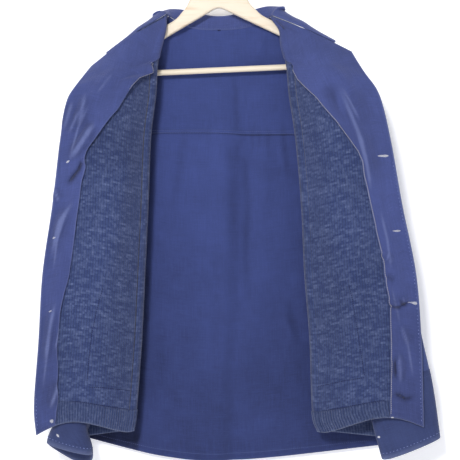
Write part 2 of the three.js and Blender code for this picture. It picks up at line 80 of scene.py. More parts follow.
def throughPoints(points, s):
    # a smooth curve through points, s from 0 to 1 over their numbers, its slopes weighted by root spacing
    p = np.asarray(points, float)
    p = np.vstack([2 * p[0] - p[1], p, 2 * p[-1] - p[-2]])
    f = np.clip(np.asarray(s, float), 0, 1) * (len(p) - 3)
    i = np.minimum(f.astype(int), len(p) - 4)
    w = (f - i)[..., None]
    a, b, c, d = p[i], p[i + 1], p[i + 2], p[i + 3]
    k1, k2, k3 = (np.linalg.norm(q, axis=-1, keepdims=True) ** 0.5 for q in (b - a, c - b, d - c))
    m1 = ((b - a) / k1 - (c - a) / (k1 + k2) + (c - b) / k2) * k2
    m2 = ((c - b) / k2 - (d - b) / (k2 + k3) + (d - c) / k3) * k2
    between = (2 * w**3 - 3 * w**2 + 1) * b + (3 * w**2 - 2 * w**3) * c
    return between + (w**3 - 2 * w**2 + w) * m1 + (w**3 - w**2) * m2


def foldLine(x, z, line, width, height):
    # height times exp(-(d / width)²), d the distance to a bent line, tapering off towards both ends
    line = np.asarray(line, float)
    steps = np.diff(line, axis=0)
    lengths = np.hypot(*steps.T)
    starts = np.concatenate([[0], np.cumsum(lengths)[:-1]])
    nearest = np.full(np.shape(x), 1e9)
    place = np.zeros(np.shape(x))
    for (ax, az), (dx, dz), length, start in zip(line, steps, lengths, starts):
        w = np.clip(((x - ax) * dx + (z - az) * dz) / length**2, 0, 1)
        d = np.hypot(x - ax - dx * w, z - az - dz * w)
        place = np.where(d < nearest, start + length * w, place)
        nearest = np.minimum(nearest, d)
    t = place / lengths.sum()
    return height * np.exp(-((nearest / width) ** 2)) * smooth(t / 0.3) * smooth((1 - t) / 0.3)


def folds(x, z, lines):  # the sum of (line, width, height) folds
    return sum((foldLine(x, z, line, width, height) for line, width, height in lines), np.zeros(np.shape(x)))


def normalOf(surface, a, b, step=0.002):  # unit cross product of the slopes along both parameters
    across = surface(a + step, b) - surface(a - step, b)
    down = surface(a, b + step) - surface(a, b - step)
    return unit(np.cross(across, down))


# Meshes

def volumeOf(points, polygons):  # a sixth of the triple products of each polygon's fan of triangles
    total = 0
    for p in polygons:
        rest = points[p[:, 1:]]
        total += np.einsum("ij,ikj->", points[p[:, 0]], np.cross(rest[:, :-1], rest[:, 1:]))
    return total / 6


def makeMesh(name, points, polygons, finish, uv=None, values=None):
    # polygons holds index arrays with a row for each polygon, and all are turned to face outwards
    if volumeOf(points, polygons) < 0:
        polygons = [p[:, ::-1] for p in polygons]
        uv = None if uv is None else uv[:, ::-1]
    mesh = bpy.data.meshes.new(name)
    loops = np.concatenate([p.ravel() for p in polygons]).astype(np.int32)
    counts = np.concatenate([np.full(len(p), p.shape[1]) for p in polygons])
    mesh.vertices.add(len(points))
    mesh.vertices.foreach_set("co", (np.asarray(points) * mm).astype(np.float32).ravel())
    mesh.loops.add(len(loops))
    mesh.loops.foreach_set("vertex_index", loops)
    mesh.polygons.add(len(counts))
    mesh.polygons.foreach_set("loop_start", np.concatenate([[0], np.cumsum(counts)[:-1]]).astype(np.int32))
    mesh.polygons.foreach_set("use_smooth", np.ones(len(counts), bool))
    if uv is not None:
        mesh.uv_layers.new(name="grain").data.foreach_set("uv", np.asarray(uv, np.float32).ravel())
    for key, value in (values or {}).items():
        mesh.attributes.new(key, "FLOAT", "POINT").data.foreach_set("value", np.asarray(value, np.float32))
    mesh.update(calc_edges=True)
    mesh.validate()
    piece = bpy.data.objects.new(name, mesh)
    bpy.context.scene.collection.objects.link(piece)
    piece.data.materials.append(finish)
    return piece


def grainOf(middle, zero=0, ring=False):
    # cloth coordinates in metres: distance across from column zero, and distance up from the last row
    closed = np.concatenate([middle, middle[:, :1]], 1) if ring else middle
    across = np.linalg.norm(np.diff(closed, axis=1), axis=-1).cumsum(1)
    across = np.concatenate([np.zeros((len(middle), 1)), across], 1)
    across = across - across[:, [zero]]
    down = np.linalg.norm(np.diff(closed, axis=0), axis=-1).cumsum(0)
    down = np.concatenate([np.zeros((1, closed.shape[1])), down], 0)
    down = down - down[-1]
    return np.stack([across, down], -1) * mm


def gridNormal(middle, ring=False, flip=False):
    # unit cross product of the grid's own steps across and down
    if ring:
        wrapped = np.concatenate([middle[:, -1:], middle, middle[:, :1]], 1)
        across = wrapped[:, 2:] - wrapped[:, :-2]
    else:
        across = np.gradient(middle, axis=1)
    down = np.gradient(middle, axis=0)
    return unit(np.cross(across, down)) * (-1 if flip else 1), unit(across), unit(down)


def shell(name, middle, thick, finish, ring=False, flip=False, relief=0, zero=0, values=None, bulge=0.4,
          behind=None):
    # a closed wall: middle plus and minus half its thickness along the normal, and a rim of one more row;
    # behind gives the second face values of its own
    rows, wide = middle.shape[:2]
    normal, across, down = gridNormal(middle, ring, flip)
    face = middle + normal * (thick / 2 + np.broadcast_to(relief, (rows, wide)))[..., None]
    back = middle - normal * thick / 2
    outward = np.zeros_like(middle)
    outward[0] -= down[0]
    outward[-1] += down[-1]
    top = np.arange(wide)
    last = (rows - 1) * wide + top
    if ring:
        loops = [top, last[::-1]]
    else:
        outward[:, 0] -= across[:, 0]
        outward[:, -1] += across[:, -1]
        sides = np.arange(1, rows - 1) * wide
        loops = [np.concatenate([top, sides + wide - 1, last[::-1], sides[::-1]])]
    outward = unit(outward).reshape(-1, 3)
    flat = middle.reshape(-1, 3)
    count = rows * wide
    grain = grainOf(middle, zero, ring)
    columns = np.arange(wide if ring else wide - 1)
    r, i = (q.ravel() for q in np.meshgrid(np.arange(rows - 1), columns, indexing="ij"))
    j = (i + 1) % wide
    a, b, c, d = r * wide + i, r * wide + j, (r + 1) * wide + j, (r + 1) * wide + i
    quads = [np.stack([a, b, c, d], 1), np.stack([d, c, b, a], 1) + count]
    corner = np.stack([grain[r, i], grain[r, i + 1], grain[r + 1, i + 1], grain[r + 1, i]], 1)
    uvs = [corner, corner[:, ::-1]]
    points = [face.reshape(-1, 3), back.reshape(-1, 3)]
    source = [np.arange(count), np.arange(count)]
    start = 2 * count
    plain = grain[:, :wide].reshape(-1, 2)
    for loop in loops:
        points.append(flat[loop] + outward[loop] * thick * bulge)
        source.append(loop)
        rim = start + np.arange(len(loop))
        near, far, rimFar = loop, np.roll(loop, -1), np.roll(rim, -1)
        quads.append(np.stack([far, near, rim, rimFar], 1))
        quads.append(np.stack([rimFar, rim, near + count, far + count], 1))
        strip = np.repeat(plain[near][:, None], 4, 1)
        uvs += [strip, strip]
        start += len(loop)
    points, quads, uvs, source = (np.concatenate(q) for q in (points, quads, uvs, source))
    attributes = {}
    for key, value in (values or {}).items():
        attributes[key] = np.broadcast_to(value, (rows, wide)).ravel()[source]
    for key, value in (behind or {}).items():
        attributes[key][count:2 * count] = value
    return makeMesh(name, points, [quads], finish, uvs, attributes)


def place(piece, slot, *nodes):  # rides on the one body and stands for its CAD nodes
    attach(piece, "root")
    if nodes:
        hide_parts(*nodes)
    return piece


def runAlong(path, pitch):
    # evenly spaced places on a path: numbers into it, the places, and the unit direction at each
    steps = np.linalg.norm(np.diff(path, axis=0), axis=1)
    length = np.concatenate([[0], steps.cumsum()])
    at = np.arange(0.5 * pitch, length[-1] - 0.25 * pitch, pitch)
    number = np.interp(at, length, np.arange(len(path)))
    centre, ahead, before = (np.stack([np.interp(at + step, length, path[:, k]) for k in range(3)], 1)
                             for step in (0, 0.5, -0.5))
    return number, centre, unit(ahead - before)


def ringFaces(rings, sides):
    # quads between neighbouring rings of points, and a cap on each end, all facing one way
    i, k = (q.ravel() for q in np.meshgrid(np.arange(rings - 1), np.arange(sides), indexing="ij"))
    near, far = i * sides + k, i * sides + (k + 1) % sides
    quads = np.stack([near, near + sides, far + sides, far], 1)
    return quads, np.stack([np.arange(sides), (rings - 1) * sides + np.arange(sides)[::-1]])


def threads(centre, run, normal, length, radius):
    # short thread lengths: six-sided spindles along run, their ends dipping into the cloth
    sides = 6
    ends = np.array([-1, -0.7, 0, 0.7, 1]) * 0.5
    width = np.array([0.3, 0.85, 1, 0.85, 0.3])
    sink = np.array([-0.9, 0, 0.35, 0, -0.9])
    turn = np.arange(sides) * 2 * np.pi / sides
    side = unit(np.cross(run, normal))
    normal = unit(np.cross(side, run))
    length, radius = np.broadcast_to(length, len(centre)), np.broadcast_to(radius, len(centre))
    middle = centre[:, None] + run[:, None] * (length[:, None] * ends)[..., None]
    middle = middle + normal[:, None] * (radius[:, None] * sink)[..., None]
    spread = radius[:, None, None] * width[None, :, None]
    ring = side[:, None, None] * (spread * np.cos(turn))[..., None]
    ring = ring + normal[:, None, None] * (spread * np.sin(turn))[..., None]
    points = (middle[:, :, None] + ring).reshape(-1, 3)
    quads, caps = ringFaces(len(ends), sides)
    base = (np.arange(len(centre)) * len(ends) * sides)[:, None, None]
    return points, (quads[None] + base).reshape(-1, 4), (caps[None] + base).reshape(-1, sides)


def sewn(name, runs, finish, slot="indigo_cotton"):  # joins thread lengths into one piece
    points, quads, caps, start = [], [], [], 0
    for p, q, c in runs:
        points.append(p)
        quads.append(q + start)
        caps.append(c + start)
        start += len(p)
    faces = [np.concatenate(quads), np.concatenate(caps)]
    return place(makeMesh(name, np.concatenate(points), faces, finish), slot)


inwards, outwards = (0, -1, 0), (0, 1, 0)  # the jacket's inside faces the viewer
chance = np.random.default_rng(12)
sewing = {  # distance from stitch to stitch, thread length and radius, and the share that has worn off
    "edge": {"pitch": 3.2, "length": 2.2, "radius": 0.28},
    "seam": {"pitch": 3.2, "length": 2.4, "radius": 0.3},
    "yokeLine": {"pitch": 2.6, "length": 2.3, "radius": 0.5},
    "pocket": {"pitch": 3.2, "length": 2.6, "radius": 0.6},
    "ribSeam": {"pitch": 3.2, "length": 2.6, "radius": 0.55},
    "serged": {"pitch": 2.9, "length": 2.5},
    "roped": {"pitch": 5.5, "length": 3.2, "radius": 0.6, "worn": 0.7},
    "cuffSeam": {"pitch": 3.2, "length": 2.4, "radius": 0.35, "worn": 0.5},
    "cuffHem": {"pitch": 5.5, "length": 3.2, "radius": 0.7, "worn": 0.5},
}


def stitchRow(surface, a, b, lift, pitch, length, radius, toward=inwards, worn=0.0):
    # stitches along surface(a, b), on the side of the cloth that toward points to, worn shorter by chance
    a, b = np.broadcast_arrays(a, b)
    path = surface(a, b)
    normal = normalOf(surface, a, b)
    normal = normal * np.sign((normal * toward).sum(-1, keepdims=True))
    number, centre, run = runAlong(path, pitch)
    up = unit(np.stack([np.interp(number, np.arange(len(path)), normal[:, k]) for k in range(3)], 1))
    if worn:
        length = length * (1 - worn * chance.random(len(centre)))
        radius = radius * (1 - worn * chance.random(len(centre)))
    return threads(centre + up * lift, run, up, length, radius)


def workedSlot(surface, a, b, lift, lengths, radius=0.42, toward=inwards):
    # threads laid side by side across a short line, one for each of lengths
    a, b = np.broadcast_arrays(a, b)
    path = surface(a, b)
    normal = normalOf(surface, a, b)
    up = normal * np.sign((normal * toward).sum(-1, keepdims=True))
    run = unit(np.gradient(path, axis=0))
    return threads(path + up * lift, np.cross(run, up), up, lengths, radius)


class Nodes:
    def __init__(self, tree):
        self.tree = tree

    def add(self, kind, inputs=None, **settings):
        node = self.tree.nodes.new("ShaderNode" + kind)
        for key, value in settings.items():
            setattr(node, key, value)
        for key, value in (inputs or {}).items():
            if isinstance(value, bpy.types.NodeSocket):
                self.tree.links.new(value, node.inputs[key])
            else:
                node.inputs[key].default_value = value
        return node

    def math(self, operation, a, b=0.0):
        return self.add("Math", {0: a, 1: b}, operation=operation).outputs[0]

    def plus(self, a, b):
        return self.math("ADD", a, b)

    def minus(self, a, b):
        return self.math("SUBTRACT", a, b)

    def times(self, a, b):
        return self.math("MULTIPLY", a, b)

    def span(self, value, low, high, to=(0.0, 1.0)):
        inputs = {"Value": value, "From Min": low, "From Max": high, "To Min": to[0], "To Max": to[1]}
        return self.add("MapRange", inputs, interpolation_type="SMOOTHSTEP").outputs[0]

    def noise(self, vector, scale, detail=3.0, rough=0.6):
        inputs = {"Vector": vector, "Scale": scale, "Detail": detail, "Roughness": rough}
        return self.add("TexNoise", inputs).outputs["Fac"]

    def blend(self, factor, a, b, kind="MIX"):
        node = self.add("Mix", data_type="RGBA", blend_type=kind)
        for socket, value in ((node.inputs[0], factor), (node.inputs[6], a), (node.inputs[7], b)):
            if isinstance(value, bpy.types.NodeSocket):
                self.tree.links.new(value, socket)
            else:
                socket.default_value = value
        return node.outputs[2]

    def tint(self, colour, value):  # hue and saturation kept, brightness times value
        return self.add("HueSaturation", {"Color": colour, "Value": value}).outputs[0]

    def scaled(self, vector, x, y, z=1.0):
        return self.add("VectorMath", {0: vector, 1: (x, y, z)}, operation="MULTIPLY").outputs[0]

    def bump(self, height, distance, strength=1.0, normal=None):
        inputs = {"Height": height, "Distance": distance, "Strength": strength}
        if normal is not None:
            inputs["Normal"] = normal
        return self.add("Bump", inputs).outputs[0]

    def grain(self):
        return self.add("UVMap", uv_map="grain").outputs[0]

    def objectPlace(self):
        return self.add("TexCoord").outputs["Object"]

    def attribute(self, name):
        return self.add("Attribute", attribute_name=name).outputs["Fac"]


def linear(r, g, b):  # a display colour from 0 to 255 as linear light
    c = np.array([r, g, b]) / 255
    c = np.where(c <= 0.04045, c / 12.92, ((c + 0.055) / 1.055) ** 2.4)
    return (*c.tolist(), 1.0)


def newGroup(name, inputs, outputs):
    tree = bpy.data.node_groups.new(name, "ShaderNodeTree")
    for label, kind in inputs:
        tree.interface.new_socket(label, in_out="INPUT", socket_type="NodeSocket" + kind)
    for label, kind in outputs:
        tree.interface.new_socket(label, in_out="OUTPUT", socket_type="NodeSocket" + kind)
    return tree, Nodes(tree), tree.nodes.new("NodeGroupInput"), tree.nodes.new("NodeGroupOutput")


def wovenGroup():
    inputs = [("Base", "Color"), ("Pale", "Color"), ("Slub", "Float"), ("Fade", "Float")]
    tree, n, start, end = newGroup("wovenCloth", inputs, [("Color", "Color"), ("Normal", "Vector")])
    grain = n.grain()
    # uneven yarns: long streaks down the warp and shorter ones along the weft
    warp = n.noise(n.scaled(grain, 900, 28), 1.0, 2.0)
    weft = n.noise(n.scaled(grain, 34, 820), 1.0, 2.0)
    flecks = n.noise(n.scaled(grain, 260, 520), 1.0, 4.0, 0.8)
    cloud = n.noise(n.objectPlace(), 9.0, 4.0, 0.55)
    blotch = n.noise(n.objectPlace(), 42.0, 4.0, 0.6)
    yarn = n.plus(n.times(warp, 0.6), n.times(weft, 0.5))
    yarn = n.minus(yarn, 0.55)
    streak = n.times(yarn, start.outputs["Slub"])
    value = n.plus(n.plus(streak, 1.0), n.times(n.minus(cloud, 0.5), 0.42))
    value = n.plus(value, n.times(n.minus(blotch, 0.5), 0.3))
    # the tone attribute darkens or lightens the cloth; on the facings and the back it also carries painted
    # shade in creases and hollows and a painted shadow beside the left fold
    value = n.plus(value, n.attribute("toneAndPaintedShade"))
    colour = n.tint(start.outputs["Base"], value)
    pale = n.times(n.span(flecks, 0.56, 0.78), 0.3)
    patchy = n.span(n.plus(cloud, n.times(flecks, 0.5)), 0.45, 0.95, (0.35, 1.0))
    # the wear attribute pales the cloth where it is worn; on the facings' fold crests it is also a painted
    # highlight
    worn = n.times(n.attribute("wearAndPaintedLight"), patchy)
    pale = n.plus(pale, n.times(worn, start.outputs["Fade"]))
    colour = n.blend(n.math("MINIMUM", pale, 0.85), colour, start.outputs["Pale"])
    # plain weave: crossing ribs a millimetre apart, and soft puckers
    waves = n.add("SeparateXYZ", {0: n.scaled(grain, 2 * np.pi / 0.0011, 2 * np.pi / 0.0012)})
    plain = n.times(n.math("SINE", waves.outputs[0]), n.math("SINE", waves.outputs[1]))
    rumple = n.noise(n.objectPlace(), 60.0, 5.0, 0.6)
    normal = n.bump(plain, 0.00012, 0.6)
    normal = n.bump(n.plus(rumple, n.times(yarn, 0.25)), 0.0016, 0.55, normal)
    tree.links.new(colour, end.inputs["Color"])
    tree.links.new(normal, end.inputs["Normal"])
    return tree


def knitGroup():
    inputs = [("Base", "Color"), ("Light", "Color"), ("Wale", "Float"), ("Marl", "Float")]
    tree, n, start, end = newGroup("marledKnit", inputs, [("Color", "Color"), ("Normal", "Vector")])
    grain = n.add("SeparateXYZ", {0: n.grain()})
    wale = n.math("DIVIDE", grain.outputs[0], start.outputs["Wale"])
    course = n.math("DIVIDE", grain.outputs[1], 0.003)
    # each loop leans to its wale's middle, so courses run in shallow peaks
    across = n.math("ABSOLUTE", n.minus(n.math("FRACT", wale), 0.5))
    lean = n.plus(course, n.times(across, 0.25))
    column = n.math("FLOOR", wale)
    row = n.math("FLOOR", lean)
    loop = n.add("CombineXYZ", {0: column, 1: row})
    single = n.add("TexWhiteNoise", {"Vector": loop.outputs[0]}, noise_dimensions="2D").outputs["Value"]
    # marled yarn changes shade over several loops along a course
    yarn = n.add("CombineXYZ", {0: n.times(wale, 0.26), 1: n.times(row, 7.31)})
    run = n.noise(yarn.outputs[0], 1.0, 3.0, 0.75)
    ply = n.noise(n.scaled(n.grain(), 700, 260), 1.0, 3.0, 0.7)
    cloud = n.noise(n.objectPlace(), 7.0, 3.0, 0.5)
    marl = n.plus(n.times(run, 0.95), n.times(single, 0.12))
    marl = n.plus(marl, n.times(ply, 0.22))
    light = n.times(n.span(marl, 0.52, 0.95), start.outputs["Marl"])
    # the wear attribute pales worn yarn; on the ribbed hem it also paints the rib crests lighter and the
    # grooves darker as highlight and shade
    light = n.plus(light, n.times(n.attribute("wearAndPaintedLight"), 0.55))
    colour = n.blend(n.math("MINIMUM", light, 0.9), start.outputs["Base"], start.outputs["Light"])
    colour = n.tint(colour, n.plus(n.times(n.minus(cloud, 0.5), 0.5), 1.0))
    # painted shade: the colour darkens in the grooves between the wales
    grooveShade = n.times(n.span(across, 0.3, 0.5), 0.3)
    colour = n.tint(colour, n.minus(1.0, grooveShade))
    # loops stand up between the grooves of the wales and dip where courses meet
    arch = n.math("SQRT", n.minus(1.0, n.times(n.times(across, across), 3.9)))
    dip = n.math("SINE", n.times(n.math("FRACT", lean), np.pi))
    height = n.plus(n.times(arch, 0.75), n.times(dip, 0.35))
    rumple = n.noise(n.objectPlace(), 55.0, 4.0, 0.6)
    normal = n.bump(height, 0.0007, 0.8)
    normal = n.bump(rumple, 0.0015, 0.45, normal)
    tree.links.new(colour, end.inputs["Color"])
    tree.links.new(normal, end.inputs["Normal"])
    return tree


def woodGroup():
    inputs = [("Base", "Color"), ("Vein", "Color")]
    tree, n, start, end = newGroup("paleWood", inputs, [("Color", "Color"), ("Normal", "Vector")])
    spot = n.objectPlace()
    sway = n.scaled(n.add("TexNoise", {"Vector": spot, "Scale": 7.0}).outputs["Color"], 0.02, 0.02, 0.03)
    bent = n.add("VectorMath", {0: spot, 1: sway}, operation="ADD").outputs[0]
    fine = n.noise(n.scaled(bent, 22, 160, 240), 1.0, 4.0, 0.6)
    broad = n.noise(n.scaled(bent, 6, 20, 46), 1.0, 3.0, 0.55)
    streak = n.plus(n.times(n.span(fine, 0.5, 0.8), 0.3), n.times(n.span(broad, 0.56, 0.72), 0.5))
    colour = n.blend(streak, start.outputs["Base"], start.outputs["Vein"])
    tree.links.new(colour, end.inputs["Color"])
    tree.links.new(n.bump(fine, 0.0002, 0.3), end.inputs["Normal"])
    return tree


woven, marled, grained = wovenGroup(), knitGroup(), woodGroup()


def finish(name, group, roughness, sheen, specular, settings):
    material = bpy.data.materials.new(name)
    material.use_nodes = True
    n = Nodes(material.node_tree)
    shader = material.node_tree.nodes["Principled BSDF"]
    shader.inputs["Roughness"].default_value = roughness
    shader.inputs["Specular IOR Level"].default_value = specular
    shader.inputs["Sheen Weight"].default_value = sheen
    shader.inputs["Sheen Roughness"].default_value = 0.5
    made = n.add("Group", settings, node_tree=group)
    material.node_tree.links.new(made.outputs["Color"], shader.inputs["Base Color"])
    material.node_tree.links.new(made.outputs["Normal"], shader.inputs["Normal"])
    return material


def plainFinish(name, colour, roughness, metallic=0.0, specular=0.4):
    material = bpy.data.materials.new(name)
    material.use_nodes = True
    shader = material.node_tree.nodes["Principled BSDF"]
    shader.inputs["Base Color"].default_value = colour
    shader.inputs["Roughness"].default_value = roughness
    shader.inputs["Metallic"].default_value = metallic
    shader.inputs["Specular IOR Level"].default_value = specular
    return material


bodyCloth = finish("bodyCloth", woven, 0.9, 0.12, 0.3, {
    "Base": linear(60, 73, 130), "Pale": linear(104, 116, 168), "Slub": 0.6, "Fade": 0.5})
yokeCloth = finish("yokeCloth", woven, 0.9, 0.12, 0.3, {
    "Base": linear(58, 71, 127), "Pale": linear(112, 124, 172), "Slub": 0.6, "Fade": 0.5})
facingCloth = finish("facingCloth", woven, 0.88, 0.15, 0.3, {
    "Base": linear(67, 78, 132), "Pale": linear(136, 147, 190), "Slub": 0.75, "Fade": 0.8})
sleeveCloth = finish("sleeveCloth", woven, 0.9, 0.12, 0.3, {
    "Base": linear(54, 66, 112), "Pale": linear(126, 136, 172), "Slub": 0.8, "Fade": 0.8})
knitCloth = finish("knitCloth", marled, 0.95, 0.2, 0.3, {
    "Base": linear(47, 60, 103), "Light": linear(110, 123, 161), "Wale": 0.0041, "Marl": 0.55})
ribCloth = finish("ribCloth", marled, 0.95, 0.2, 0.3, {
    "Base": linear(47, 60, 101), "Light": linear(108, 121, 156), "Wale": 0.0019, "Marl": 0.42})
wood = finish("paleWood", grained, 0.5, 0.0, 0.4, {
    "Base": linear(243, 229, 206), "Vein": linear(214, 178, 134)})
darkThread = plainFinish("darkThread", linear(34, 42, 84), 0.9)
seamThread = plainFinish("seamThread", linear(84, 94, 142), 0.9)
paleThread = plainFinish("paleThread", linear(164, 162, 166), 0.9)
wornThread = plainFinish("wornThread", linear(118, 129, 178), 0.9)
whiteThread = plainFinish("whiteThread", linear(208, 208, 216), 0.9)
steel = plainFinish("steelWire", linear(190, 194, 198), 0.25, 1.0)
buttonFinish = plainFinish("buttonPlastic", linear(38, 42, 62), 0.35, 0.0, 0.5)
print("finishes made")


# The jacket's surfaces. c runs 0 to 1 over a front's rear layer, 1 to 2 over its turn and 2 to 3 over
# the flap; v runs from the shoulder at 0 to the hem at 1.

left = {
    "out": -1,
    "rearX": [-200, -198, -194, -196, -226, -231, -233, -233, -229],
    "rearZ": [-205, -225, -262, -322, -400, -500, -608, -725, -776],
    "foldX": [-78, -94, -98, -106, -110, -115, -120, -128, -133],
    "foldZ": [-122, -190, -246, -314, -416, -523, -625, -732, -765],
    "edgeX": [-195, -214, -231, -241, -253, -268, -274, -281, -278],
    "edgeZ": [-205, -231, -258, -316, -417, -522, -623, -720, -767],
    "neck": (-78, -122),
    "topTone": 0.0,
    "cuffTone": -0.16,
    # worn: how pale the fold crests are, partly faded cloth and partly painted highlight, and how dark the
    # hollows are painted as shade
    "worn": (0.52, 0.27),
    "loose": 6,
    "sleeveX": [-203, -209, -215, -222, -229],
    "sleeveHalf": [49, 49, 46, 36, 35],
    "cuffPinch": 12,
    "sleeveDeep": [15, 15, 16, 18, 19],
    "cuffTilt": 8,
    "cuffRise": 8.5,
    "cuffSag": 11,
    "cuffSlot": ((0.6, 0.57), (0.962, 0.967)),
    "bow": 1.5,
    "foldPush": (5, 0.02),
    "facing": [(-89.6, -196.6), (-98.6, -203.3), (-109.7, -214.5), (-127.5, -223.4), (-136.6, -234.5),
               (-143.2, -248), (-154.3, -270.4), (-172.2, -294.8), (-185.6, -314.9), (-199, -332.7),
               (-203.5, -345), (-201.3, -359.2), (-208, -381.8), (-211.2, -406.3), (-215.7, -435.2),
               (-218, -455), (-223.5, -499.1), (-227.9, -528), (-234.7, -550.8), (-241.4, -579.7),
               (-243.6, -611.7), (-245.8, -633), (-243.6, -669.5), (-244.8, -713.6), (-246.9, -742.5),
               (-250.2, -766)],
    "serged": (0.14, 0.235, 0.35),
    "roped": (0.86, 0.985),
    "creases": [
        ([(-196, -262), (-214, -300), (-226, -345)], 4, 1),
        ([(-236, -440), (-246, -470), (-252, -520)], 4, 1),
        ([(-256, -610), (-262, -650), (-268, -700)], 4, 1),
        ([(-240, -600), (-250, -640)], 4, 1),
        ([(-160, -215), (-186, -250)], 4, 1),
    ],
    "pocketLines": [
        [(-176.7, -543.2), (-185.6, -578.2), (-192.3, -611.7), (-198, -655.8), (-200.2, -684.7)],
        [(-196.9, -693.8), (-176.7, -694.8), (-125.4, -703.8)],
    ],
    "slots": [
        ([(-231, -352.5), (-226.5, -349)], [1.6, 2.6, 3.2, 3.4, 2.8, 2.2, 1.4]),
        ([(-250.8, -468), (-248, -466)], [1.6, 2.8, 3, 2, 1.2]),
        ([(-255, -580), (-252.4, -578.6)], [1.4, 2.4, 2.6, 1.6]),
        ([(-255.4, -745), (-250.8, -745.6)], [3, 5, 6.4, 6.4, 4.6]),
    ],
    "folds": [
        ([(-202, -245), (-211, -288), (-217, -298)], 6, 2.6),
        ([(-185, -291), (-211, -326), (-231, -352)], 6, 2.2),
        ([(-219, -409), (-242, -443), (-249, -470), (-255, -501)], 7, 2.4),
        ([(-222, -257), (-237, -306)], 6, 2),
        ([(-211, -272), (-229, -310)], 5, 1.8),
        ([(-188, -288), (-223, -348)], 6, 1.6),
        ([(-205, -345), (-213, -364), (-225, -379), (-235, -383)], 4, -2.6),
        ([(-252, -391), (-243, -412)], 5, 1.8),
        ([(-231, -426), (-247, -466)], 5, 1.8),
        ([(-247, -560), (-255, -595), (-266, -662)], 6, 2),
        ([(-239, -680), (-257, -729)], 7, 2),
        ([(-120, -300), (-150, -420), (-165, -560)], 16, 1.8),
        ([(-170, -430), (-190, -560), (-200, -680)], 18, 2.2),
    ],
}
right = {
    "out": 1,
    "rearX": [205, 201, 199, 207, 246, 261, 267, 270, 270],
    "rearZ": [-182, -206, -252, -320, -400, -500, -608, -725, -776],
    "foldX": [82, 103, 109, 119, 128, 133, 141, 145, 154],
    "foldZ": [-123.5, -192, -246, -314, -416, -523, -625, -735, -766],
    "edgeX": [203, 221, 244, 261, 279, 300, 308, 311, 312],
    "edgeZ": [-182, -214, -249, -316, -417, -522, -623, -717, -755],
    "neck": (78, -123.5),
    "topTone": -0.1,
    "cuffTone": -0.08,
    # worn: how pale the fold crests are, partly faded cloth and partly painted highlight, and how dark the
    # hollows are painted as shade
    "worn": (0.42, 0.2),
    "loose": 0,
    "sleeveX": [218, 236, 254, 277, 295],
    "sleeveHalf": [59, 57, 54, 50, 44],
    "cuffPinch": 0,
    "sleeveDeep": [15, 15, 15, 15, 15],
    "cuffTilt": 16,
    "cuffRise": -3,
    "cuffSag": 0,
    "cuffSlot": ((0.36, 0.34), (0.93, 0.93)),
    "bow": 0,
    "foldPush": (6, 0.055),
    "facing": [(115.1, -203.3), (124.1, -223.4), (150.8, -252.4), (173.2, -283.7), (195.6, -312.6),
               (211.1, -334.8), (217.8, -350.7), (220.1, -372.9), (229, -413), (236.8, -446.5), (237.9, -455),
               (249.1, -499.1), (251.2, -528), (259.1, -566), (260.2, -611.7), (260.4, -655.8),
               (260.4, -699.9), (259.1, -760)],
    "serged": (0.16, 0.985, 0.5),
    "roped": (0.42, 0.985),
    "creases": [
        ([(206, -300), (222, -345), (232, -400)], 4, 1),
        ([(244, -420), (256, -470), (262, -520)], 4, 1),
        ([(262, -540), (276, -600)], 4, 1),
        ([(284, -610), (296, -680)], 4, 1),
        ([(186, -236), (214, -290)], 4, 1),
    ],
    "pocketLines": [
        [(197.7, -537.1), (203.3, -561.5), (208.9, -597.9), (213.2, -624.5), (217.8, -655.8),
         (221.1, -675.5)],
        [(221.1, -679.2), (191, -684.7), (144.2, -698.2)],
    ],
    "slots": [
        ([(240.6, -342.6), (257.3, -342.2)],
         [1.2, 1.7, 2.2, 2.6, 2.9, 3.2, 3.4, 3.4, 3.5, 3.6, 3.8, 3.9, 4.1, 4.2, 3.9, 3.3, 2.8, 1.8]),
        ([(263.6, -456.8), (275.6, -456.2)], [1.1, 1.5, 1.9, 2.3, 2.7, 2.9, 3.1, 3.1, 3, 2.8, 2.3, 1.6]),
        ([(288.6, -564.6), (301.2, -567)], [0.9, 1.3, 1.7, 2.1, 2.6, 3.1, 3.6, 4.2, 4.7, 5.2, 5.4, 5, 3]),
        ([(262, -742.6), (265, -742.2)], [1.8, 3, 3.2, 2]),
    ],
    "folds": [
        ([(179.7, -229.9), (216.2, -319.6), (233, -394)], 14, 3.2),
        ([(161.5, -226.9), (196.5, -295.3)], 10, -1.5),
        ([(249.7, -488.5), (263.4, -503.7)], 4, 2),
        ([(252.7, -523.4), (269.5, -532.6)], 5, -1.6),
        ([(256, -569.8), (274, -570.6), (283.2, -566), (293, -563)], 3, -2.6),
        ([(256, -564), (274, -564.8), (283.2, -560), (293, -557)], 4, 1.8),
        ([(277, -599.5), (286.2, -629.9)], 5, 1.8),
        ([(268, -649.7), (269.5, -680)], 4, -2.4),
        ([(274, -640), (276, -690)], 5, 1.6),
        ([(262, -700), (284, -712), (300, -708)], 4, -1.8),
        ([(150, -310), (168, -430), (176, -560)], 16, 1.8),
        ([(200, -420), (214, -540), (222, -690)], 18, 2),
    ],
}


def quarter(drop, radius):
    return np.sqrt(1 - (1 - np.clip(drop / radius, 0, 1)) ** 2)


def bodyDepth(drop, fromSide, v, depth):
    rise = 8 * quarter(drop, 8) + (depth - 8) * smooth((drop - 8) / 60)
    opened = 0.8 * smooth((0.5 - v) / 0.09)
    return 0.15 + rise * (opened + (1 - opened) * quarter(fromSide, 13))


def flapFolds(u, v):
    below = smooth((v - 0.04) / 0.1) * (1 - smooth((v - 0.86) / 0.1))
    slant = ridge(u - 0.62 - 1.1 * (v - 0.2), 0.16) * ridge(v - 0.22, 0.22)
    low = ridge(u - 0.8 - 0.5 * (v - 0.6), 0.12) * ridge(v - 0.6, 0.25)
    soft = ridge(u - 0.4 + 0.4 * (v - 0.5), 0.2) * ridge(v - 0.55, 0.4)
    return below * (3 * slant + 2.5 * low + 1.5 * soft)


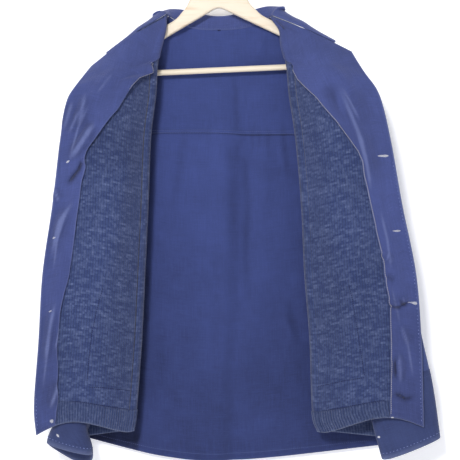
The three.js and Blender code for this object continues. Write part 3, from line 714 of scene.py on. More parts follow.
def front(side, c, v):
    c, v = np.broadcast_arrays(np.asarray(c, float), np.asarray(v, float))
    out = side["out"]
    keys = ("rearX", "rearZ", "foldX", "foldZ", "edgeX", "edgeZ")
    rearX, rearZ, foldX, foldZ, edgeX, edgeZ = (along(side[key], v, True) for key in keys)
    push, pushV = side["foldPush"]
    foldX = foldX + out * push * ridge(v - pushV, 0.04)
    turn = mix(1, 10, smooth(v / 0.1))
    inner = foldX + out * turn
    w = np.clip(c, 0, 1)
    x, z = mix(rearX, inner, w), mix(rearZ, foldZ, w)
    drop = mix(side["rearZ"][0], side["foldZ"][0], w) - z
    wave = 1.5 * np.sin(w * 7 + v * 5) * smooth(v / 0.3) * smooth(w * 4)
    rearY = -bodyDepth(drop, abs(x - rearX), v, 14) - wave
    startY = mix(-12.5, -34, smooth(v / 0.13))
    angle = np.clip(c - 1, 0, 1) * np.pi
    turnX = foldX + out * turn * (1 - np.sin(angle))
    turnY = mix(rearY, startY, (1 - np.cos(angle)) / 2)
    u = np.clip(c - 2, 0, 1)
    bow = side["bow"] * np.sin(np.pi * u) * (1 - smooth(v / 0.2))
    lift = 20 * np.sin(np.pi * u**1.2) * smooth((v - 0.72) / 0.28) ** 1.5
    flapX = mix(inner, edgeX, u) + out * 0.5 * bow
    flapZ = mix(foldZ, edgeZ, u) + 0.8 * bow + lift
    deep = mix(40, 65, smooth(v / 0.2))
    edgeDeep = mix(44, 57, smooth(v / 0.2))
    rise = np.sin(np.pi / 2 * np.clip(u / 0.42, 0, 1))
    backwards = 7 * smooth((u - 0.55) / 0.45) * (1 - smooth(v / 0.16))
    deep = mix(-startY, deep, rise) + (edgeDeep - deep) * smooth((u - 0.5) / 0.5) - backwards
    fine = 1.6 * folds(flapX, flapZ, side["folds"]) * smooth(u / 0.25)
    flapY = -deep - flapFolds(u, v) - fine
    inTurn, inFlap = c > 1, c >= 2
    x = np.where(inFlap, flapX, np.where(inTurn, turnX, x))
    y = np.where(inFlap, flapY, np.where(inTurn, turnY, rearY))
    z = np.where(inFlap, flapZ, np.where(inTurn, foldZ, z))
    return stack(x, y, z)


hemDip = [-2, 15, 30.2, 39.5, 40.2, 35.3, 28.6, 21.3, 14]
neckZ = [-122, -133, -139.5, -141.2, -141.5, -141, -138.5, -133, -123.5]
span = right["rearX"][0] - left["rearX"][0]
leftNeck = (left["neck"][0] - left["rearX"][0]) / span
rightNeck = (right["neck"][0] - left["rearX"][0]) / span
backFoldLines = [
    ([(2, -300), (12, -360), (20, -520), (16, -700)], 11, -2.2),
    ([(42, -320), (45, -360), (48, -440), (45, -600), (51, -660)], 9, 2.2),
    ([(-70, -318), (-66, -350)], 6, 1.6),
    ([(-22, -318), (-20, -356)], 6, 1.6),
    ([(4, -318), (6, -350)], 5, -1.5),
    ([(32, -318), (34, -352)], 5, 1.4),
    ([(68, -318), (72, -362), (76, -430)], 7, -1.8),
    ([(88, -318), (92, -360)], 6, 1.5),
    ([(112, -560), (133, -645)], 10, 3),
    ([(98, -560), (118, -645)], 8, -2.4),
    ([(102, -668), (60, -715), (26, -768)], 12, -2.2),
    ([(-102, -625), (-96, -700)], 12, 2),
    ([(24, -205), (22, -300)], 7, 1.6),
    ([(34, -200), (36, -290)], 6, -1.2),
    ([(-60, -430), (-52, -560), (-58, -720)], 20, -2),
]


def backTop(f):
    slopeLeft = mix(left["rearZ"][0], left["neck"][1], f / leftNeck)
    slopeRight = mix(right["neck"][1], right["rearZ"][0], (f - rightNeck) / (1 - rightNeck))
    neck = along(neckZ, (f - leftNeck) / (rightNeck - leftNeck))
    return np.where(f < leftNeck, slopeLeft, np.where(f > rightNeck, slopeRight, neck))


def back(f, v):
    f, v = np.broadcast_arrays(np.asarray(f, float), np.asarray(v, float))
    leftX, leftZ = (along(left[key], v, True) for key in ("rearX", "rearZ"))
    rightX, rightZ = (along(right[key], v, True) for key in ("rearX", "rearZ"))
    x = mix(leftX, rightX, f)
    top = backTop(f)
    straight = mix(left["rearZ"][0], right["rearZ"][0], f)
    below = np.maximum(v - 0.33, 0) / 0.67
    dip = along(hemDip, f) * below**2
    above = 1 - np.clip(v / 0.33, 0, 1) ** 1.5
    z = mix(leftZ, rightZ, f) + (top - straight) * above - dip
    inNeck = np.minimum(f - leftNeck, rightNeck - f) * span
    y = bodyDepth(top - z, np.minimum(x - leftX, rightX - x), v, 16)
    y = np.where(inNeck > 0.5, np.maximum(y, mix(9, 16, smooth(inNeck / 26))), y)
    fine = folds(x, z, backFoldLines) * smooth((x - leftX) / 20) * smooth((rightX - x) / 20)
    return stack(x, y + backFolds(x, z) + fine, z)


def backFolds(x, z):
    middle = 5 * ridge(x - 42 - 0.05 * (z + 300), 26) - 4 * ridge(x - 4, 26)
    side = -2.5 * ridge(x + 70 - 0.06 * (z + 300), 34)
    slant = 3.5 * ridge(x - 98 - 0.25 * (z + 560), 50) * smooth((-z - 420) / 120)
    beside = -3 * ridge(x - 48 - 0.25 * (z + 560), 50) * smooth((-z - 460) / 120)
    return smooth((-z - 200) / 160) * (middle + side + slant + beside)


def armhole(side, s):  # the sleeve's first row, just outside the front's and the back's side edges
    v = 0.5 * abs(1 - 2 * s)
    onFront, onBack = front(side, np.zeros_like(v), v), back(np.full_like(v, side["out"] > 0), v)
    edge = np.where((s < 0.5)[..., None], onFront, onBack)
    low = np.maximum(v - 0.01, 0)
    dx, dz = (along(side[k], v + 0.01, True) - along(side[k], low, True) for k in ("rearX", "rearZ"))
    away = unit(stack(-dz * side["out"], 0, dx * side["out"]))
    forward = np.where(s < 0.5, 1.4 * np.sqrt(np.clip(np.sin(2 * np.pi * s), 0, 1)), 0)
    edge = edge + away * (2.4 * np.cos(forward))[..., None]
    return edge - stack(0, 3.1 * np.sin(forward), 0)


def sleeveRing(side, s, t):
    angle = np.radians(along([62, 110, 160, 215, 275, 318, 352, 385, 422], s))
    half = along(side["sleeveHalf"], t) - side["cuffPinch"] * ridge(t - 0.88, 0.12)
    deep = along(side["sleeveDeep"], t)
    rightwards = np.cos(angle)
    x = along(side["sleeveX"], t) + side["out"] * half * rightwards
    swell = np.sign(np.sin(angle)) * abs(np.sin(angle)) ** 0.75
    sag = (side["cuffRise"] * swell + side["cuffSag"] * abs(swell)) * (1 - 0.5 * rightwards)
    z = along([-440, -520, -610, -704, -789], t) + (side["cuffTilt"] * rightwards - sag) * smooth(t)
    return stack(x, -38 + deep * swell, z)


def sleeve(side, s, t):
    s, t = np.broadcast_arrays(np.asarray(s, float) % 1, np.asarray(t, float))
    ring = sleeveRing(side, s, np.clip((t - 0.3) / 0.7, 0, 1))
    w = np.clip(t / 0.3, 0, 1)
    first = sleeveRing(side, s, np.zeros_like(t))
    middle = mix(armhole(side, s), first, (smooth(w) * 0.5 + w * 0.5)[..., None])
    bulge = np.sin(np.pi * w)
    behind = smooth((s - 0.62) / 0.2) * (1 - smooth((s - 0.985) / 0.015))
    crown = ridge(s - 0.5, 0.3)
    before = np.where(s < 0.5, 1 - smooth(s / 0.3), 0)
    aside = side["out"] * bulge * (15 * behind + 3 * crown + 6 * before)
    middle = middle + stack(aside, bulge * (9 * behind - 7 * before - 4 * crown), 0)
    return np.where((t >= 0.3)[..., None], ring, middle)


def neckline():
    seamPoints, abovePoints = [], []

    def flap(side, c):
        at = min(c, 2.6)
        surface = lambda a, b: front(side, a, b)
        run = surface(at + 0.01, 0) - surface(at - 0.01, 0)
        up = side["out"] * unit(np.array([-run[2], 0, run[0]]))
        seamPoints.append(surface(c, 0) + up * 0.8 * (c - 2))
        abovePoints.append(seamPoints[-1] + up)

    def over(point, clear):
        seamPoints.append(point + np.array([0, 0, clear]))
        abovePoints.append(seamPoints[-1] + np.array([0, 0, 1]))

    flapSteps = [2.78, 2.66, 2.52, 2.36, 2.2]
    turnSteps = [(2, 0.2), (1.6, 0.8), (1.05, 1.5)]
    backSteps = [(0.03, 0.8)] + [(w, 0) for w in (0.12, 0.25, 0.375, 0.5, 0.625, 0.75, 0.88)] + [(0.97, 0.8)]
    for c in flapSteps:
        flap(left, c)
    for c, clear in turnSteps:
        over(front(left, c, 0), clear)
    for w, clear in backSteps:
        over(back(mix(leftNeck, rightNeck, w), 0), clear)
    for c, clear in turnSteps[::-1]:
        over(front(right, c, 0), clear)
    for c in flapSteps[::-1]:
        flap(right, c)
    return np.array(seamPoints), np.array(abovePoints)


neckSeam, aboveSeam = neckline()


def collar(s, q):  # a band on the neck seam that leans and rolls outwards; s along it, q up it
    s, q = np.broadcast_arrays(np.clip(np.asarray(s, float), 0, 1), np.asarray(q, float))
    base = throughPoints(neckSeam, s)
    run = unit(throughPoints(neckSeam, s + 0.001) - throughPoints(neckSeam, s - 0.001))
    above = throughPoints(aboveSeam, s) - base
    up = unit(above - run * (above * run).sum(-1, keepdims=True))
    outside = np.cross(up, run)
    lean = along([1.45, 1.3, 0.75, 0.85, 0.95, 0.1, 0, 0, 0, 0, 0.3, 0.4, 0.4, 0.8, 1.0], s)
    roll = along([1.5, 1.5, 1.5, 1.5, 1.7, 0.5, 0.25, 0.25, 0.25, 0.5, 1.3, 1.5, 1.5, 1.5, 1.5], s)
    radius = 24 * (1 - 0.12 * ridge(s - 0.5, 0.1)) / roll
    rise = 1.05 + 1.9 * np.sin(lean) + radius * (np.sin(lean + roll * q) - np.sin(lean))
    over = 1.2 * np.sin(lean) + radius * (np.cos(lean) - np.cos(lean + roll * q))
    return base + up * rise[..., None] + outside * over[..., None]


# Fronts: knit panel, ribbed hem, woven facing and pocket

def facingInner(side, v):
    # the c where the measured edge line crosses each row, wrapping round the turn near the shoulder
    line = np.array(side["facing"])[::-1]
    c = np.full_like(v, 2.4)
    for _ in range(12):
        here, ahead = front(side, c, v), front(side, c + 0.05, v)
        target = np.interp(here[..., 2], line[:, 1], line[:, 0])
        c = np.clip(c + 0.6 * (target - here[..., 0]) * 0.05 / (ahead[..., 0] - here[..., 0]), 2.02, 2.9)
    return mix(1.25, c, smooth((v - 0.1) / 0.05))


def onFacing(side, c, v, free=1.0):
    # the facing lies over the knit and closes on it at the front edge, with a fluttering free edge
    inner = facingInner(side, v)
    fromFree = np.clip((c - inner) / 0.25, 0, 1)
    closing = smooth((3 - c) / 0.12) * smooth((1 - v) / 0.015)
    flutter = np.sin(v * 41 + side["out"]) + 0.7 * np.sin(v * 83 + 1.3)
    started = smooth((v - 0.11) / 0.06)
    loose = 1.2 + 4.5 * ridge(v - 0.3, 0.2) + side["loose"] * ridge(v - 0.17, 0.1) + 0.8 * flutter
    return 2.0 + 1.3 * closing * started + free * (1 - smooth(fromFree)) * loose * started * closing


frontPanel = {"columns": 124, "rows": 184, "thick": 2.6}
facingPanel = {"columns": 46, "rows": 190, "thick": 1.2}
ribPanel = {"ribs": 70, "perRib": 8, "rows": 16, "thick": 2.6, "relief": 1.2}
pocketPanel = {"columns": ((0.56, 1, 12), (1.05, 2, 12), (2.03, 2.39, 14)), "rows": (0.65, 0.845, 50),
               "lift": -2.8, "thick": 1.2}
ribV = 0.875  # the seam between the knit panel and the ribbed hem
seamV = 0.3 / 640  # half its gap


def liftedBy(side, c, v, lift):  # the front's surface moved out along its normal
    surface = lambda a, b: front(side, a, b)
    return surface(c, v) + normalOf(surface, c, v) * (lift * -side["out"])[..., None]


def spread(*parts):
    # evenly spaced numbers over parts that follow each other, each a start, an end and a count
    return np.concatenate([*(np.linspace(*part)[:-1] for part in parts[:-1]), np.linspace(*parts[-1])])


def spacedColumns(side, count, v):
    # columns spread evenly over the cloth's length along one row
    c = np.linspace(0, 3, 1200)
    row = front(side, c, np.full_like(c, v))
    length = np.concatenate([[0], np.linalg.norm(np.diff(row, axis=0), axis=1).cumsum()])
    return np.interp(np.linspace(0, length[-1], count), length, c)


def frontPieces(side, label):
    columns = spacedColumns(side, frontPanel["columns"], 0.45)
    columns = np.unique(np.round(np.concatenate([columns, np.linspace(1, 2, 13)]), 5))
    rows = spread((0, 0.06, 12), (0.06, ribV - seamV, frontPanel["rows"] - 11))
    c, v = np.meshgrid(columns, rows)
    panel = shell(f"knitFront{label}", front(side, c, v), frontPanel["thick"], knitCloth,
                  flip=side["out"] > 0, zero=len(columns) // 2,
                  values={"wearAndPaintedLight": 0.3 * smooth(1 - (3 - c) / 0.05)})
    place(panel, "blue_knit", f"front_{label.lower()}")

    ribs, per = ribPanel["ribs"], ribPanel["perRib"]
    c = spacedColumns(side, ribs * per + 1, 0.95)
    profile = ribPanel["relief"] * np.abs(np.sin(np.pi * np.arange(len(c)) / per)) ** 0.7
    c, v = np.meshgrid(c, np.linspace(ribV + seamV, 1, ribPanel["rows"]))
    # the hem's bottom edge worn paler; the rib crests painted lighter and the grooves painted darker, as
    # painted highlight and shade
    wearAndPaintedLight = smooth((v - 0.99) / 0.008) * 0.4 + 0.5 * (profile / ribPanel["relief"]) ** 2 - 0.22
    hem = shell(f"ribHem{label}", front(side, c, v), ribPanel["thick"], ribCloth, flip=side["out"] > 0,
                relief=np.broadcast_to(profile, c.shape), zero=c.shape[1] // 2, values={"wearAndPaintedLight": wearAndPaintedLight})
    place(hem, "blue_knit", f"rib_hem_{label.lower()}")

    v = spread((0, 0.06, 12), (0.06, 1, facingPanel["rows"] - 11))
    inner = facingInner(side, v)
    w = np.linspace(0, 1, facingPanel["columns"])
    w = w * 0.7 + 0.3 * smooth(w)
    c = inner[:, None] + (3 - inner[:, None]) * w
    v = np.broadcast_to(v[:, None], c.shape)
    middle = liftedBy(side, c, v, onFacing(side, c, v))
    flatX, flatZ = middle[..., 0], middle[..., 2]
    # pale lines along the fold crests: partly faded cloth and partly painted highlight
    crests = [(line, min(0.4 * width, 2.6), 1)
              for line, width, height in side["folds"] + side["creases"] if height > 0]
    crestFadeAndHighlight = np.clip(folds(flatX, flatZ, crests), 0, 1)
    broad = folds(flatX, flatZ, [(line, 2.2 * width, height) for line, width, height in side["folds"]])
    shadedHollows = np.clip(-folds(flatX, flatZ, side["folds"]), 0, 2.5)
    shadedHollows = shadedHollows + 0.35 * np.clip(broad, 0, 2) * (1 - crestFadeAndHighlight)
    wearAndPaintedLight = 0.25 * smooth(1 - (c - inner[:, None]) / 0.015) + 0.4 * smooth(1 - (3 - c) / 0.02)
    pale, hollowShade = side["worn"]
    wearAndPaintedLight = wearAndPaintedLight + 0.3 * smooth((v - 0.994) / 0.005) + pale * crestFadeAndHighlight
    # tone: topTone near the top, darker towards the bottom, and painted shade in the fold hollows
    toneAndPaintedShade = side["topTone"] * (1 - smooth(v / 0.2)) - 0.2 * smooth((v - 0.55) / 0.4) - hollowShade * shadedHollows
    facing = shell(f"facing{label}", middle, facingPanel["thick"], facingCloth, flip=side["out"] > 0,
                   zero=-1, values={"wearAndPaintedLight": wearAndPaintedLight, "toneAndPaintedShade": toneAndPaintedShade})
    place(facing, "indigo_cotton", f"facing_{label.lower()}")

    columns = np.concatenate([np.linspace(*part) for part in pocketPanel["columns"]])
    c, v = np.meshgrid(columns, np.linspace(*pocketPanel["rows"]))
    middle = liftedBy(side, c, v, np.full(c.shape, pocketPanel["lift"]))
    pocket = shell(f"pocket{label}", middle, pocketPanel["thick"], bodyCloth, flip=side["out"] > 0,
                   values={"wearAndPaintedLight": 0})
    place(pocket, "indigo_cotton", f"pocket_{label.lower()}")
    return panel, hem, facing, pocket


def onFlap(side, places, count=70):
    # c and v along a line of (x, z) places on the flap, by Newton steps on its two slopes
    line = np.asarray(places, float)
    length = np.concatenate([[0], np.hypot(*np.diff(line, axis=0).T).cumsum()])
    at = np.linspace(0, length[-1], count)
    x, z = np.interp(at, length, line[:, 0]), np.interp(at, length, line[:, 1])
    c, v = np.full(count, 2.5), np.clip((-z - 150) / 620, 0.05, 0.97)
    for _ in range(16):
        here = front(side, c, v)
        across, down = (front(side, c + 0.01, v) - here) * 100, (front(side, c, v + 0.01) - here) * 100
        dx, dz = x - here[:, 0], z - here[:, 2]
        area = across[:, 0] * down[:, 2] - down[:, 0] * across[:, 2]
        c = np.clip(c + 0.8 * (dx * down[:, 2] - dz * down[:, 0]) / area, 2.001, 2.998)
        v = np.clip(v + 0.8 * (across[:, 0] * dz - across[:, 2] * dx) / area, 0.001, 0.999)
    return c, v


frontLeft = frontPieces(left, "Left")
frontRight = frontPieces(right, "Right")
print("fronts made")


# Stitches, buttonholes and thread ends on the fronts

def facingTop(side):  # the facing's face as a surface of c and v
    return lambda c, v: liftedBy(side, c, v, onFacing(side, c, v) + 0.7)


def knitTop(side):  # the knit panel's face, likewise
    return lambda c, v: liftedBy(side, c, v, np.full(np.shape(c), 1.4))


# edge and roped are places in c, bottom and ribSeam in v
frontSewing = {"edge": 3 - 0.012, "bottom": 0.993, "roped": 2.978, "sergedIn": 0.006, "ribSeam": 0.8725}
stitchesOf = {}
for side, label in ((left, "Left"), (right, "Right")):
    rim, knit = facingTop(side), knitTop(side)
    v = np.linspace(0.13, frontSewing["bottom"], 420)
    rows = [stitchRow(rim, frontSewing["edge"], v, 0.1, **sewing["edge"])]
    c = mix(facingInner(side, v)[-1], 3, np.linspace(0.02, 0.98, 90))
    rows.append(stitchRow(rim, c, frontSewing["bottom"], 0.1, **sewing["edge"]))
    edgeStitches = sewn(f"edgeStitches{label}", rows, seamThread)
    v = np.linspace(*side["roped"], 300)
    row = stitchRow(rim, frontSewing["roped"], v, 0.0, **sewing["roped"])
    roped = sewn(f"ropedEdge{label}", [row], wornThread)
    start, end, radius = side["serged"]
    v = np.linspace(start, end, 400)
    c = facingInner(side, v) + frontSewing["sergedIn"]
    row = stitchRow(rim, c, v, 0.0, **sewing["serged"], radius=radius)
    serged = sewn(f"sergedEdge{label}", [row], paleThread)
    rows = [stitchRow(knit, *onFlap(side, line), 0.1, **sewing["pocket"]) for line in side["pocketLines"]]
    c = np.linspace(2.03, 2.62, 120)
    rows.append(stitchRow(knit, c, frontSewing["ribSeam"], 0.1, **sewing["ribSeam"]))
    pocketStitches = sewn(f"pocketStitches{label}", rows, darkThread, "blue_knit")
    slots = [workedSlot(rim, *onFlap(side, line, len(lengths)), 0.15, np.array(lengths))
             for line, lengths in side["slots"]]
    workedThreads = sewn(f"workedThreads{label}", slots, whiteThread)
    stitchesOf[label] = (edgeStitches, roped, serged, workedThreads), (pocketStitches,)
print("front stitches made")


# Back: yoke, body and collar band

backPanel = {"columns": 150, "rows": 150, "thick": 1.2, "zero": 60}
collarPanel = {"along": 260, "rows": 14, "thick": 2.4, "zero": 130}


def backColumns():
    f = np.linspace(0, 1, backPanel["columns"])
    edges = [0.004, 0.012, 0.02, leftNeck, rightNeck, 0.98, 0.988, 0.996]
    return np.unique(np.round(np.concatenate([f, edges]), 5))


# painted shade along the back's creases: each a line, a width and how much darker
backShades = [
    ([(25, -205), (26, -250), (29, -310)], 6, 0.24),
    ([(34, -280), (37, -320), (42, -370), (44, -420), (41, -480), (46, -580)], 6, 0.2),
    ([(24, -280), (25, -380), (20, -490)], 15, 0.1),
    ([(-48, -280), (-60, -340), (-74, -430)], 7, 0.15),
    ([(96, -280), (103, -325), (108, -375)], 5, 0.18),
    ([(-18, -290), (-17, -336)], 4, 0.08),
    ([(52, -285), (53, -336)], 3, 0.13),
    ([(62, -285), (63, -332)], 3, 0.12),
    ([(76, -285), (78, -352)], 4, 0.13),
]


def yokeSeam(f):  # the seam sits lower on the viewer's right
    return 0.342 + 0.006 * smooth((f - 0.4) / 0.25)


def backPaintedShade(f, v):  # painted shade in the creases and a painted shadow close beside the left fold
    at = back(f, v)
    x, z = at[..., 0], at[..., 2]
    beside = x - along(left["foldX"], v, True)
    return -folds(x, z, backShades) - 0.4 * (1 - smooth((beside - 1) / 9)) * smooth(v / 0.1)


f, rows = np.meshgrid(backColumns(), spread((0, 0.15, 14), (0.15, 0.958, 40), (0.958, 0.9994, 16)))
v = rows * yokeSeam(f)
above = yokeSeam(f) - v
band = 0.7 * smooth((0.0105 - above) / 0.0012)  # the seam allowance pressed under the yoke
wearAndPaintedLight = 0.3 * ridge(above - 0.0095, 0.0016) + 0.3 * smooth(1 - v / 0.01)
wearAndPaintedLight = wearAndPaintedLight + 0.42 * smooth((0.0045 - above) / 0.0015)
toneAndPaintedShade = backPaintedShade(f, v) - 0.05 * smooth((f - 0.55) / 0.3)
backYoke = shell("backYoke", back(f, v), backPanel["thick"], yokeCloth, flip=True, relief=band,
                 zero=backPanel["zero"], values={"wearAndPaintedLight": wearAndPaintedLight, "toneAndPaintedShade": toneAndPaintedShade}, behind={"toneAndPaintedShade": 0.0})
place(backYoke, "indigo_cotton", "back_yoke")
f, rows = np.meshgrid(backColumns(), spread((0, 0.02, 10), (0.02, 1, backPanel["rows"])))
v = mix(yokeSeam(f) + 0.0004, 1, rows)
wearAndPaintedLight = 0.4 * smooth((v - 0.995) / 0.004) + 0.12 * ridge(v - 0.978, 0.006)
fall = smooth((v - 0.36) / 0.6)
toneAndPaintedShade = backPaintedShade(f, v) - 0.34 * fall - 0.1 * smooth((f - 0.5) / 0.2) * (1 - 0.5 * fall)
toneAndPaintedShade = toneAndPaintedShade - (0.2 + 0.3 * smooth((f - 0.5) / 0.12)) * (1 - smooth((v - yokeSeam(f)) / 0.006))
backBody = shell("backBody", back(f, v), backPanel["thick"], bodyCloth, flip=True, zero=backPanel["zero"],
                 values={"wearAndPaintedLight": wearAndPaintedLight, "toneAndPaintedShade": toneAndPaintedShade}, behind={"toneAndPaintedShade": 0.0})
place(backBody, "indigo_cotton", "back_body")
s, q = np.meshgrid(np.linspace(0, 1, collarPanel["along"]), np.linspace(0, 1, collarPanel["rows"]))
wearAndPaintedLight = 0.35 * smooth((q - 0.93) / 0.07) + 0.2 * smooth(1 - q / 0.06)
collarBand = shell("collarBand", collar(s, q), collarPanel["thick"], facingCloth, zero=collarPanel["zero"],
                   values={"wearAndPaintedLight": wearAndPaintedLight})
place(collarBand, "indigo_cotton", "collar_band")
f = np.linspace(0.02, 0.98, 500)
inside, outside = 0.7, 0.65  # how far stitches lie off the cloth's middle on its two faces
backHem = 0.979
rows = [stitchRow(back, f, yokeSeam(f) - 0.009, inside + 0.6, **sewing["seam"])]
rows += [stitchRow(back, f, yokeSeam(f) - above, outside, toward=outwards, **sewing["seam"])
         for above in (0.009, 0.0015)]
yokeStitches = sewn("yokeStitches", rows, seamThread)
row = stitchRow(back, f, yokeSeam(f) - 0.001, inside + 0.5, **sewing["yokeLine"])
seamLine = sewn("yokeSeamLine", [row], darkThread)
rows = [stitchRow(back, f, backHem, inside, **sewing["seam"])]
rows.append(stitchRow(back, f, backHem, outside, toward=outwards, **sewing["seam"]))
hemStitches = sewn("backHemStitches", rows, seamThread)
s = np.linspace(0.02, 0.98, 500)
toNeck = -unit(collar(s, 0.5) * (1, 0.6, 0))
rows = [stitchRow(collar, s, at, 1.25, toward=toNeck, **sewing["seam"]) for at in (0.09, 0.9)]
collarStitches = sewn("collarStitches", rows, seamThread)
f = mix(leftNeck, rightNeck, np.linspace(0.487, 0.513, 6))
loopMark = sewn("loopMark", [workedSlot(back, f, 0.004, inside, np.full(6, 3.4), 0.4)], darkThread)
print("back made")


# Sleeves and cuffs

sleevePanel = {"around": 96, "rows": 110, "thick": 1.2, "end": 0.78, "toneAndPaintedShade": 0.36}
cuffPanel = {"rows": 26, "thick": 2.4, "start": 0.78 + 0.0006, "lift": 1.25}


def sleeveCreases(side, s, t):
    # slanting creases of a hanging sleeve, as an outward push
    slant = np.sin(2 * np.pi * (2 * s + 2.2 * t) + side["out"])
    broad = np.sin(2 * np.pi * (s * 3 - 1.1 * t) + 1.4)
    started = smooth((t - 0.12) / 0.2) * (1 - smooth((t - 0.72) / 0.06))
    return started * (1.1 * slant + 0.8 * broad)


def sleevePieces(side, label):
    around = np.arange(sleevePanel["around"]) / sleevePanel["around"]
    s, t = np.meshgrid(around, np.linspace(0, sleevePanel["end"], sleevePanel["rows"]))
    middle = sleeve(side, s, t)
    normal = gridNormal(middle, ring=True)[0]
    middle = middle + normal * sleeveCreases(side, s, t)[..., None]
    tube = shell(f"sleeve{label}", middle, sleevePanel["thick"], sleeveCloth, ring=True,
                 values={"wearAndPaintedLight": 0.1 * smooth((t - 0.7) / 0.08), "toneAndPaintedShade": sleevePanel["toneAndPaintedShade"]})
    place(tube, "indigo_cotton", f"sleeve_{label.lower()}")
    s, t = np.meshgrid(around, np.linspace(cuffPanel["start"], 1, cuffPanel["rows"]))
    middle = sleeve(side, s, t)
    wearAndPaintedLight = 0.06 + 0.5 * smooth((t - 0.985) / 0.012)
    cuff = shell(f"cuff{label}", middle, cuffPanel["thick"], sleeveCloth, ring=True,
                 values={"wearAndPaintedLight": wearAndPaintedLight, "toneAndPaintedShade": side["cuffTone"]})
    place(cuff, "indigo_cotton", f"cuff_{label.lower()}")
    surface = lambda a, b: sleeve(side, a, b)
    s = np.linspace(0.001, 0.999, 300)
    made = []
    for name, at, thread in (("Seam", 0.797, seamThread), ("Hem", 0.982, wornThread)):
        ring = surface(s, np.full_like(s, at))
        away = ring - ring.mean(0)
        row = stitchRow(surface, s, at, cuffPanel["lift"], toward=away, **sewing[f"cuff{name}"])
        made.append(sewn(f"cuff{name}Stitches{label}", [row], thread))
    lengths = np.array([1.4, 2.6, 3.4, 3.8, 3.8, 3.2, 2.4, 1.4])
    acrossSlot, downSlot = (np.linspace(*ends, len(lengths)) for ends in side["cuffSlot"])
    slot = workedSlot(surface, acrossSlot, downSlot, 1.3, lengths)
    slotThreads = sewn(f"cuffSlot{label}", [slot], whiteThread)
    return tube, cuff, (*made, slotThreads)


sleeveLeft = sleevePieces(left, "Left")
sleeveRight = sleevePieces(right, "Right")
print("sleeves made")


# Buttons, hanger, hook

def disc(name, centre, axis, radius, thick, finishOf):
    # a turned button with a rounded rim and a dished face
    radii = np.array([0, 0.22, 0.45, 0.62, 0.74, 0.84, 0.93, 0.985, 1.0, 0.985, 0.93, 0.7, 0])
    depth = np.array([0.32, 0.32, 0.32, 0.34, 0.44, 0.5, 0.5, 0.42, 0.2, -0.2, -0.5, -0.5, -0.5])
    turn = np.linspace(0, 2 * np.pi, 33)[:-1]
    side = unit(np.cross(axis, [0.0, 0.0, 1.0]))
    up = np.cross(side, axis)
    rim = side * np.cos(turn)[:, None] + up * np.sin(turn)[:, None]
    points = centre + rim[None] * (radii[1:-1, None, None] * radius)
    points = points + axis * (depth[1:-1, None, None] * thick)
    faces = ringFaces(len(radii) - 2, len(turn))
    return place(makeMesh(name, points.reshape(-1, 3), faces, finishOf), "button")


# pivot is the height of the board's lowest point in its middle, about which the whole hanger is tilted
hanger = {"pivot": -107, "slope": np.radians(28), "tilt": np.radians(2.6), "aside": -1, "armHigh": 18.8,
          "halfDeep": 6, "bevel": 0.0042, "barDrop": 98.5, "barRadius": 4.5}
hook = {"x": -3, "foot": -61.7, "neck": -48, "centre": -17.5, "radius": 19.5, "wire": 2,
        "turn": (-78, -45, -10, 25, 60, 95, 130, 165, 200)}


def tilted(x, z):  # x across and z above the pivot, turned by the hanger's tilt and moved to its place
    cosine, sine = np.cos(hanger["tilt"]), np.sin(hanger["tilt"])
    return x * cosine - z * sine + hanger["aside"], x * sine + z * cosine + hanger["pivot"]


def hangerBoard():
    # the board's outline as in the frame, its corners softened by a bevel
    slope, high, pivot = np.tan(hanger["slope"]), hanger["armHigh"], hanger["pivot"]
    lower = lambda x: pivot - abs(x) * slope
    half = [(66, lower(66) + high), (57, lower(57) + 24.5), (50, -106), (44, -93), (34, -78), (20, -66),
            (8, -62)]
    end = [(181, lower(181)), (189, lower(184) + 4), (189, lower(184) + 10), (182, lower(184) + high)]
    rightSide = [(0, pivot)] + end + half
    outline = np.array(rightSide + [(-x, z) for x, z in rightSide[:0:-1]], float)
    # corners rounded by cutting each twice
    for _ in range(2):
        after = np.roll(outline, -1, 0)
        near = np.linalg.norm(after - outline, axis=1, keepdims=True)
        cut = np.minimum(0.25, 5 / near)
        ends = [outline + (after - outline) * cut, after - (after - outline) * cut]
        outline = np.stack(ends, 1).reshape(-1, 2)
    x, z = tilted(outline[:, 0], outline[:, 1] - pivot)
    count = len(x)
    points = np.concatenate([stack(x, -hanger["halfDeep"], z), stack(x, hanger["halfDeep"], z)])
    i = np.arange(count)
    j = (i + 1) % count
    walls = np.stack([j, i, i + count, j + count], 1)
    caps = np.stack([i, i[::-1] + count])
    piece = makeMesh("hangerBoard", points, [walls, caps], wood)
    bevel = piece.modifiers.new("rounded", "BEVEL")
    bevel.width = hanger["bevel"]
    bevel.segments = 4
    bevel.limit_method = "ANGLE"
    bevel.angle_limit = np.radians(50)
    return place(piece, "pale_wood", "hanger_wood")


def tube(name, path, radius, sides, finishOf, across=(0, 1, 0)):
    # a round rod along a path with flat ends
    run = unit(np.gradient(path, axis=0))
    side = unit(np.cross(run, across))
    up = np.cross(side, run)
    turn = np.arange(sides) * 2 * np.pi / sides
    radius = np.broadcast_to(radius, len(path))[:, None, None]
    around = side[:, None] * np.cos(turn)[:, None] + up[:, None] * np.sin(turn)[:, None]
    points = path[:, None] + radius * around
    quads, caps = ringFaces(len(path), sides)
    return makeMesh(name, points.reshape(-1, 3), [quads[:, [0, 3, 2, 1]], caps[:, ::-1]], finishOf)


board = hangerBoard()
reach = (hanger["barDrop"] - 1) / np.tan(hanger["slope"]) - 2
w = np.linspace(-1, 1, 30)
barX, barZ = tilted(w * reach, np.full_like(w, -hanger["barDrop"]))
place(tube("hangerBar", stack(barX, 0, barZ), hanger["barRadius"], 20, wood), "pale_wood", "hanger_bar")
turn = np.radians(hook["turn"])
shank = [(hook["x"], 0, hook["foot"]), (hook["x"], 0, hook["neck"])]
bend = stack(hook["radius"] * np.cos(turn), 0, hook["centre"] + hook["radius"] * np.sin(turn))
hookPath = throughPoints(np.concatenate([shank, bend]), np.linspace(0, 1, 90))
place(tube("hangerHook", hookPath, hook["wire"], 16, steel), "steel_wire", "hanger_hook")

